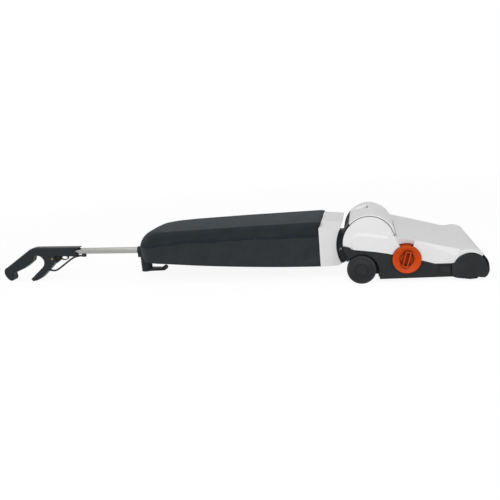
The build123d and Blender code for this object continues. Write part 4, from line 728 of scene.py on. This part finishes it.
class UPRIGHT_OT_lead(bpy.types.Operator):
    """Lay the short link lead between the cord horn and the tube's gland"""

    bl_idname = "upright.lead"
    bl_label = "Link lead"

    def execute(self, context):
        diameter = context.scene.upright_lead.diameter
        curve = bpy.data.curves.new("link_cord", "CURVE")
        curve.dimensions = "3D"
        curve.bevel_depth = diameter / 2
        curve.bevel_resolution = 6
        curve.resolution_u = 24
        curve.use_fill_caps = True
        spline = curve.splines.new("NURBS")
        spline.points.add(len(LEAD_ROUTE) - 1)
        for point, spot in zip(spline.points, LEAD_ROUTE):
            point.co = (*along(*spot), 1.0)
        spline.order_u = 3
        spline.use_endpoint_u = True
        lead = in_scene("link_cord", curve)
        curve.materials.append(lead_jacket("lead_jacket"))
        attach(lead, "upper")
        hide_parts("link_lead")
        return {"FINISHED"}


def bag_half_width(x, half, end):
    """Half the bag's width: even along the sides, then a superellipse that closes at the end."""
    share = held((BAG_END + end - x) / end)
    return half * (1.0 - share ** END_POWER) ** (1 / END_POWER)


def folds(x, up, waves):
    """Long shallow folds: waves that slant as they climb, each times a slow one along the bag."""
    return sum(share * np.sin(x / wave + slant * up + start) * np.sin(x / slow + slow_start)
               for share, wave, slant, start, slow, slow_start in waves)


def cover_section(width, rise, bend, reach, crown):
    """Half of each section across the cover, from the right edge to the middle.

    Each climbs straight from the edge, turns over a quarter of an ellipse and crosses on a low
    crown, a quarter of a sine. Returns the places across and up, one row for each section.
    """
    side = np.linspace(0, 1, SIDE_STEPS, endpoint=False)
    angle = np.linspace(0, 1, CORNER_STEPS, endpoint=False) * np.pi / 2
    top = np.linspace(0, 1, TOP_POINTS)
    y = np.hstack([-width + 0 * side, -width + reach * (1 - np.cos(angle)),
                   -(width - reach) * (1 - top)])
    z = np.hstack([(rise - bend) * side, rise - bend + bend * np.sin(angle),
                   rise + crown * np.sin(top * np.pi / 2)])
    return y, z


def cover_net(half, end, crown, slack):
    """The stretched cover, on a net along and across the bag.

    Along the bag the stations crowd towards the rounded end, where the width and the rise close
    on superellipses. Each section is climbed and crossed as cover_section says, with a bend that
    grows towards the end. Long shallow folds, deepest low on the sides, are added outwards.
    Returns the net in millimetres and the cloth's own measure in metres.
    """
    share = np.linspace(0.0, 1.0, COVER_STATIONS)
    eased = 1.0 - (1.0 - share) ** 2.0 * (1 - 0.35 * share)
    x = (BAG_FRONT + (BAG_END - BAG_FRONT) * eased)[:, None]
    width = bag_half_width(x, half, end)
    low = reading(COVER_EDGE, x)
    drop = held((DROP_START - x) / (DROP_START - BAG_END))
    rise = (reading(COVER_TOP, x) - low) * (1.0 - drop ** DROP_POWER) ** (1 / DROP_POWER)
    bend = np.minimum(reading(CORNER_BEND, x), 0.92 * np.minimum(width, rise))
    reach = np.minimum(bend * reading(CORNER_REACH, x), 0.95 * width)
    y, z = cover_section(width, rise, bend, reach, crown * held(width / half) * (1 - drop))
    # folds: outwards on the side and upwards on the top, with their own waves on each half
    fade = (1 - drop) * held((BAG_FRONT - x) / FOLD_FADES)
    up = held(z / np.maximum(rise, 1.0))
    side = held((-y - 0.6 * width) / (0.4 * width + 1e-6))
    depth = slack * fade * (0.25 + 0.9 * side * (1 - up) ** 0.7)
    z = z + low
    push = [depth * folds(x, up, waves) for waves in FOLDS]
    near_y, far_y = (y - p * side for p in push)
    near_z, far_z = (z + np.minimum(p, TOP_FOLD) * (1 - side) for p in push)
    y = np.hstack([near_y, -far_y[:, -2::-1]])
    z = np.hstack([near_z, far_z[:, -2::-1]])
    # the front leans over the base and tucks under
    lean = held((x - BAG_FRONT) / LEAN_LENGTH + 1.0)
    tuck = held((x - BAG_FRONT) / TUCK_LENGTH + 1.0) ** 2
    x = x + lean * LEAN * held((z - LEAN_FROM) / LEAN_HEIGHT)
    y = y * (1.0 - TUCK_IN * tuck)
    z = z - TUCK_DOWN * tuck * held((z - TUCK_FROM) / TUCK_HEIGHT)
    net = np.stack([x, y, z], axis=-1)
    step = np.linalg.norm(np.diff(net, axis=1), axis=-1) / 1000.0
    across = np.hstack([np.zeros((COVER_STATIONS, 1)), np.cumsum(step, axis=1)])
    across -= across[:, -1:] / 2
    length = walked(net[:, net.shape[1] // 2])[:, None] / 1000.0
    return net, np.stack(np.broadcast_arrays(length, across), axis=-1)


def hem_path(half, end):
    """The cover's lower edge, from the front on one side round the end to the front on the other.

    The rounded end is walked by angle, so that its points stay evenly spaced; the edge rises and
    falls by about a millimetre in long uneven waves. Returns the path and the way walked along it.
    """
    straight = np.linspace(BAG_FRONT - 1.0, BAG_END + end, 160)
    angle = np.linspace(0, np.pi / 2, 60)[1:]
    x = np.concatenate([straight, BAG_END + end - end * np.sin(angle) ** (2 / END_POWER)])
    y = np.concatenate([np.full_like(straight, half), half * np.cos(angle) ** (2 / END_POWER)])
    x = np.concatenate([x, x[-2::-1]])
    y = np.concatenate([-y, y[-2::-1]])
    walk = walked(np.stack([x, y], axis=-1))
    wave = 0.9 * np.sin(walk / 27.0 + 0.6) * np.sin(walk / 83.0) + 0.35 * np.sin(walk / 12.0 + 2.0)
    return np.stack([x, y, reading(COVER_EDGE, x) + HEM_LIFT + wave], axis=-1), walk


class UPRIGHT_OT_cover(bpy.types.Operator):
    """Stretch the cloth cover over the bag and gather its hem along the tray"""

    bl_idname = "upright.cover"
    bl_label = "Bag cover"

    def execute(self, context):
        options = context.scene.upright_cover
        half, end = options.half_width * 1000, options.end_length * 1000
        net, measure = cover_net(half, end, options.crown * 1000, options.slack * 1000)
        mesh = net_mesh("cover_cloth", in_frame(net)[:, ::-1])
        cloth_map(mesh, measure[:, ::-1])
        cloth = woven("bag_cloth", options.cloth_colour, sheen=0.10)
        cover = place("cover_cloth", mesh, "upper", cloth)
        gauge = cover.modifiers.new("cloth_gauge", "SOLIDIFY")
        gauge.thickness = options.cloth_gauge
        gauge.offset = -1.0
        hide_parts("bag_cover")
        hem = self.gathered_hem(options, half, end)
        return {"FINISHED"}

    def gathered_hem(self, options, half, end):
        """A flat oval carried along the cover's edge, with puckered waves in height and depth."""
        path, walk = hem_path(half - 0.1, end)
        tall = options.hem_height * 1000 * (
            1 + 0.30 * np.sin(walk / 31.0) + 0.12 * np.sin(walk / 9.0))
        deep = HEM_DEPTH * (1 + 0.45 * np.sin(walk / 7.0 + 1.0) * np.sin(walk / 43.0))
        upright = np.broadcast_to([0.0, 0.0, 1.0], path.shape)
        net = carried(path, tall, deep, upright, sides=HEM_SIDES)
        mesh = net_mesh("cover_hem", in_frame(net)[:, ::-1], ring=True)
        turn = np.linspace(0, HEM_GIRTH, HEM_SIDES, endpoint=False)
        uv = np.stack(np.broadcast_arrays(walk[:, None] / 1000.0, turn), axis=-1)
        cloth_map(mesh, uv[:, ::-1])
        cloth = woven("hem_cloth", options.hem_colour, sheen=0.08)
        return place("cover_hem", mesh, "upper", cloth)


class UPRIGHT_OT_dust_bag(bpy.types.Operator):
    """Fold the paper dust bag that lies under the cover"""

    bl_idname = "upright.dust_bag"
    bl_label = "Dust bag"

    def execute(self, context):
        # a filled sack: each section is a flat superellipse, with a tucked pleat each side
        share = np.linspace(0.0, 1.0, 90)[:, None]
        turn = np.linspace(0, 2 * np.pi, 96, endpoint=False)
        x = SACK_FRONT - SACK_LENGTH * (0.5 - 0.5 * np.cos(share * np.pi))
        swell = np.clip(np.sin(share * np.pi), 1e-4, 1) ** 0.32
        c, s = np.cos(turn), np.sin(turn)
        pleat = SACK_PLEAT * np.exp(-(s / 0.16) ** 2) * swell ** 2
        y = np.sign(c) * (SACK_HALF_WIDTH * swell * np.abs(c) ** 0.38 - pleat)
        tall = (SACK_HALF_HEIGHT - SACK_THINS * share) * swell
        crinkle = 0.5 * np.sin(x / 9.0 + 4 * c) * np.sin(turn * 5.0 + x / 31.0)
        z = (SACK_LEVEL - SACK_SINKS * (SACK_FRONT - x)
             + tall * np.sign(s) * np.abs(s) ** 0.55 + crinkle * swell ** 4)
        net = np.stack(np.broadcast_arrays(x, y, z), axis=-1)
        mesh = net_mesh("paper_sack", in_frame(net), ring=True, capped=True)
        sack = place("paper_sack", mesh, "upper", filter_paper("paper", PAPER))
        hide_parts("dust_bag")
        return {"FINISHED"}


class UPRIGHT_OT_bristles(bpy.types.Operator):
    """Plant the two helical rows of bristle tufts on the brush roller"""

    bl_idname = "upright.bristles"
    bl_label = "Bristles"

    def execute(self, context):
        options = context.scene.upright_brush
        rng = np.random.default_rng(7)
        station = np.arange(TUFT_STATIONS)
        twist = np.radians(TUFT_TWIST) * station / (TUFT_STATIONS - 1)
        turn = np.concatenate([twist, np.pi + twist])
        y = np.tile((station - (TUFT_STATIONS - 1) / 2) * TUFT_PITCH, 2)
        tufts, strands = len(turn), options.strands
        # each strand: a three-sided taper from its foot in the socket to its splayed tip
        foot_u, foot_v = (rng.uniform(-side, side, (tufts, strands)) for side in SOCKET)
        splay = options.splay * 1000
        tip_u = foot_u * (1 + 0.25 * splay) + rng.normal(0, 0.12, foot_u.shape)
        tip_v = foot_v * (1 + 0.30 * splay) + rng.normal(0, 0.12, foot_v.shape)
        reach = TUFT_TIP - rng.uniform(0, 0.7, foot_u.shape)[..., None]
        out = np.stack([np.cos(turn), np.zeros(tufts), np.sin(turn)], -1)[:, None, :]
        flat = np.stack([-np.sin(turn), np.zeros(tufts), np.cos(turn)], -1)[:, None, :]
        centre = np.stack([np.full(tufts, BRUSH_AXIS[0]), y, np.full(tufts, BRUSH_AXIS[1])], -1)
        level = np.array([0.0, 1.0, 0.0])
        foot, tip = (centre[:, None, :] + r * out + u[..., None] * level + v[..., None] * flat
                     for r, u, v in ((TUFT_FOOT, foot_u, foot_v), (reach, tip_u, tip_v)))
        gauge = options.strand_gauge * 1000 / 2
        angle = (np.arange(3) * 2 * np.pi / 3)[:, None]
        ring = (np.cos(angle) * level + np.sin(angle) * flat)[:, None]
        lower = foot[:, :, None, :] + gauge * ring
        upper = tip[:, :, None, :] + 0.6 * gauge * ring
        points = np.concatenate([lower, upper], axis=2).reshape(-1, 3)
        base = (np.arange(tufts * strands) * 6)[:, None, None]
        quads = np.array([[0, 3, 4, 1], [1, 4, 5, 2], [2, 5, 3, 0]])
        ends = np.array([[3, 5, 4], [0, 1, 2]])
        faces = (base + quads).reshape(-1, 4).tolist() + (base + ends).reshape(-1, 3).tolist()
        mesh = bpy.data.meshes.new("bristle_tufts")
        mesh.from_pydata(in_frame(points).tolist(), [], faces)
        shade = mesh.attributes.new("strand_shade", "FLOAT", "POINT")
        shade.data.foreach_set("value", np.repeat(rng.uniform(0, 1, tufts * strands), 6))
        mesh.update()
        tufts_piece = place("bristle_tufts", mesh, "brush",
                            bristle_nylon("bristle", (0.018, 0.018, 0.02)))
        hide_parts("brush_bristles")
        return {"FINISHED"}


def numeral(digit):
    """The flat outline of a digit: its points and its faces, each a list of point numbers."""
    text = bpy.data.curves.new("numeral", "FONT")
    text.body = digit
    text.size = NUMERAL_SIZE
    text.align_x = "CENTER"
    text.align_y = "CENTER"
    holder = in_scene("numeral", text)
    bpy.context.view_layer.update()
    flat = bpy.data.meshes.new_from_object(holder)
    points = np.empty(len(flat.vertices) * 3)
    flat.vertices.foreach_get("co", points)
    corners = np.empty(len(flat.loops), int)
    flat.loops.foreach_get("vertex_index", corners)
    counts = np.empty(len(flat.polygons), int)
    flat.polygons.foreach_get("loop_total", counts)
    bpy.data.objects.remove(holder)
    bpy.data.meshes.remove(flat)
    return points.reshape(-1, 3), np.split(corners, np.cumsum(counts)[:-1])


class UPRIGHT_OT_marks(bpy.types.Operator):
    """Print the plain numbers round the height knob's flange"""

    bl_idname = "upright.marks"
    bl_label = "Knob numbers"

    def execute(self, context):
        points, faces = [], []
        for n, digit in enumerate("12345"):
            spot, outlines = numeral(digit)
            # stand the numeral on the flange, its foot towards the knob's axis
            lean = np.radians(NUMERAL_TURN * n)
            across = spot[:, 0] * np.cos(lean) - spot[:, 1] * np.sin(lean)
            upward = spot[:, 0] * np.sin(lean) + spot[:, 1] * np.cos(lean)
            centre = along(KNOB_AXIS[0] - NUMERAL_RING * np.sin(lean), -KNOB_FLANGE,
                           KNOB_AXIS[1] + NUMERAL_RING * np.cos(lean))
            faces += [(outline + len(points)).tolist() for outline in outlines]
            points += (np.stack([across, 0 * across, upward], -1) + centre).tolist()
        mesh = bpy.data.meshes.new("knob_numerals")
        mesh.from_pydata(points, [], faces)
        mesh.update()
        ink = moulded("printed_ink", INK, 0.5, 0.3, worn_and_highlit=INK, dusty=0.0)
        place("knob_numerals", mesh, "knob", ink)
        return {"FINISHED"}


class UPRIGHT_OT_small_parts(bpy.types.Operator):
    """Fit the wire clip on the neck and paint the screws' cross drives as flat dark crosses of
    shade
    """

    bl_idname = "upright.small_parts"
    bl_label = "Small parts"

    def execute(self, context):
        # wire clip: a round wire bent to a flat hook, its bends rounded by a running mean
        bends = np.array(CLIP_BENDS)
        fine = np.linspace(0, len(bends) - 1, 60)
        path = np.stack([np.interp(fine, np.arange(len(bends)), row) for row in bends.T], -1)
        kernel = np.hanning(9) / np.hanning(9).sum()
        padded = np.vstack([np.repeat(path[:1], 4, 0), path, np.repeat(path[-1:], 4, 0)])
        path = np.stack([np.convolve(row, kernel, "valid") for row in padded.T], -1)
        lean = np.broadcast_to([0.0, 1.0, 0.01], path.shape)
        wire = carried(path, CLIP_RADIUS, CLIP_RADIUS, lean, sides=12)
        place("neck_clip", net_mesh("neck_clip", in_frame(wire), ring=True), "upper",
              bpy.data.materials["steel"])
        # cross drives as painted shade: a flat dark plus sign, one corner in four quarter turns,
        # just proud of each head
        quarter = np.array([-DRIVE_ARM - DRIVE_HALF_WIDTH * 1j, -DRIVE_HALF_WIDTH * (1 + 1j),
                            -DRIVE_HALF_WIDTH - DRIVE_ARM * 1j])
        cross = np.outer([1, 1j, -1, -1j], quarter).ravel()
        points, faces = [], []
        for x, z, side in SCREWS:
            outline = np.stack([cross.real + x, np.full(12, side * SCREW_FACE),
                                cross.imag + z], -1)
            faces.append((np.arange(12)[::-side] + len(points)).tolist())
            points += in_frame(outline).tolist()
        mesh = bpy.data.meshes.new("screw_drive_shade")
        mesh.from_pydata(points, [], faces)
        # painted shade: near-black metal for the crosses that stand in for the shaded drives
        drive_shade = bright_metal("screw_recess", (0.05, 0.04, 0.03), 0.6)
        place("screw_drive_shade", mesh, "upper", drive_shade)
        return {"FINISHED"}


class UPRIGHT_OT_finishes(bpy.types.Operator):
    """Give every moulding, casting and pressing its finish"""

    bl_idname = "upright.finishes"
    bl_label = "Finishes"

    def execute(self, context):
        options = context.scene.upright_finishes
        # each moulding's edge colour lightens its edges: partly wear, partly a painted highlight
        made = {
            "white_plastic": moulded(
                "white_plastic", options.white, 0.42, 0.4, worn_and_highlit=(0.86, 0.86, 0.86), dusty=0.05,
                grain=1100.0, depth=0.00001, bend=0.0009, dust_colour=(0.62, 0.60, 0.57),
                mottle=0.012),
            "dark_plastic": moulded(
                "dark_plastic", options.dark, 0.54, 0.26, worn_and_highlit=(0.03, 0.034, 0.038), dusty=0.05,
                grain=800.0, painted_nook_shade=0.6),
            "handle_plastic": moulded(
                "handle_plastic", options.grip, 0.42, 0.22, worn_and_highlit=(0.03, 0.034, 0.04),
                dusty=0.02, grain=1300.0, depth=0.00002, bend=0.0046, edge_gain=0.4),
            "orange_plastic": moulded(
                "orange_plastic", options.orange, 0.44, 0.16, worn_and_highlit=(0.74, 0.11, 0.012),
                dusty=0.02, grain=1200.0, depth=0.00002, bend=0.0007,
                dust_colour=(0.5, 0.2, 0.1), painted_nook_shade=0.75),
            "rubber": tyre_rubber("rubber", options.rubber),
            "tube_steel": polished_tube("tube_steel", options.tube),
            "steel": bright_metal("steel", (0.52, 0.52, 0.53), 0.30),
            "brass": bright_metal("brass", (0.34, 0.235, 0.10), 0.42),
            "tray_shell": grained_shell("tray_shell", options.tray),
            "bag_cloth": grained_shell("cover_shell", options.tray),
            "paper": filter_paper("paper_plain", PAPER),
            "bristle": bristle_nylon("bristle_plain", (0.02, 0.02, 0.022)),
            "motor": bright_metal("motor", (0.32, 0.32, 0.33), 0.42, turned=(3.0, 12.0, 3.0)),
            "foam": filter_paper("foam", (0.05, 0.05, 0.05)),
            "lead_jacket": lead_jacket("lead_plain"),
        }
        for entry in frame["record"]["subparts"]:
            part = frame["nodes"][entry["node"]]
            part.data.materials.clear()
            part.data.materials.append(made[entry["material_slot"]])
        return {"FINISHED"}


# ---------- panel and registration


class UPRIGHT_PT_panel(bpy.types.Panel):
    """Everything that makes the upright, in the order in which it is made"""

    bl_label = "Upright"
    bl_idname = "UPRIGHT_PT_panel"
    bl_space_type = "VIEW_3D"
    bl_region_type = "UI"
    bl_category = "Upright"

    def draw(self, context):
        for title, name, group, steps in SECTIONS:
            box = self.layout.box()
            box.label(text=title)
            for setting in group.__annotations__:
                box.prop(getattr(context.scene, name), setting)
            for step in steps:
                box.operator(step)


SECTIONS = (
    ("Studio", "upright_stage", UprightStage, ("upright.stage",)),
    ("Lead", "upright_lead", UprightLead, ("upright.lead",)),
    ("Finishes", "upright_finishes", UprightFinishes,
     ("upright.finishes", "upright.marks", "upright.small_parts")),
    ("Bag", "upright_cover", UprightCover, ("upright.cover", "upright.dust_bag")),
    ("Brush", "upright_brush", UprightBrush, ("upright.bristles",)),
)

CLASSES = (*(group for _, _, group, _ in SECTIONS), UPRIGHT_OT_stage, UPRIGHT_OT_lead,
           UPRIGHT_OT_finishes, UPRIGHT_OT_cover, UPRIGHT_OT_dust_bag, UPRIGHT_OT_bristles,
           UPRIGHT_OT_marks, UPRIGHT_OT_small_parts, UPRIGHT_PT_panel)


def register():
    for cls in CLASSES:
        bpy.utils.register_class(cls)
    for _, name, group, _ in SECTIONS:
        setattr(bpy.types.Scene, name, bpy.props.PointerProperty(type=group))


def unregister():
    for _, name, _, _ in SECTIONS:
        delattr(bpy.types.Scene, name)
    for cls in reversed(CLASSES):
        bpy.utils.unregister_class(cls)


def main():
    register()
    bpy.ops.upright.stage()
    bpy.ops.upright.lead()
    bpy.ops.upright.finishes()
    bpy.ops.upright.cover()
    bpy.ops.upright.dust_bag()
    bpy.ops.upright.bristles()
    bpy.ops.upright.marks()
    bpy.ops.upright.small_parts()


if __name__ == "__main__":
    main()
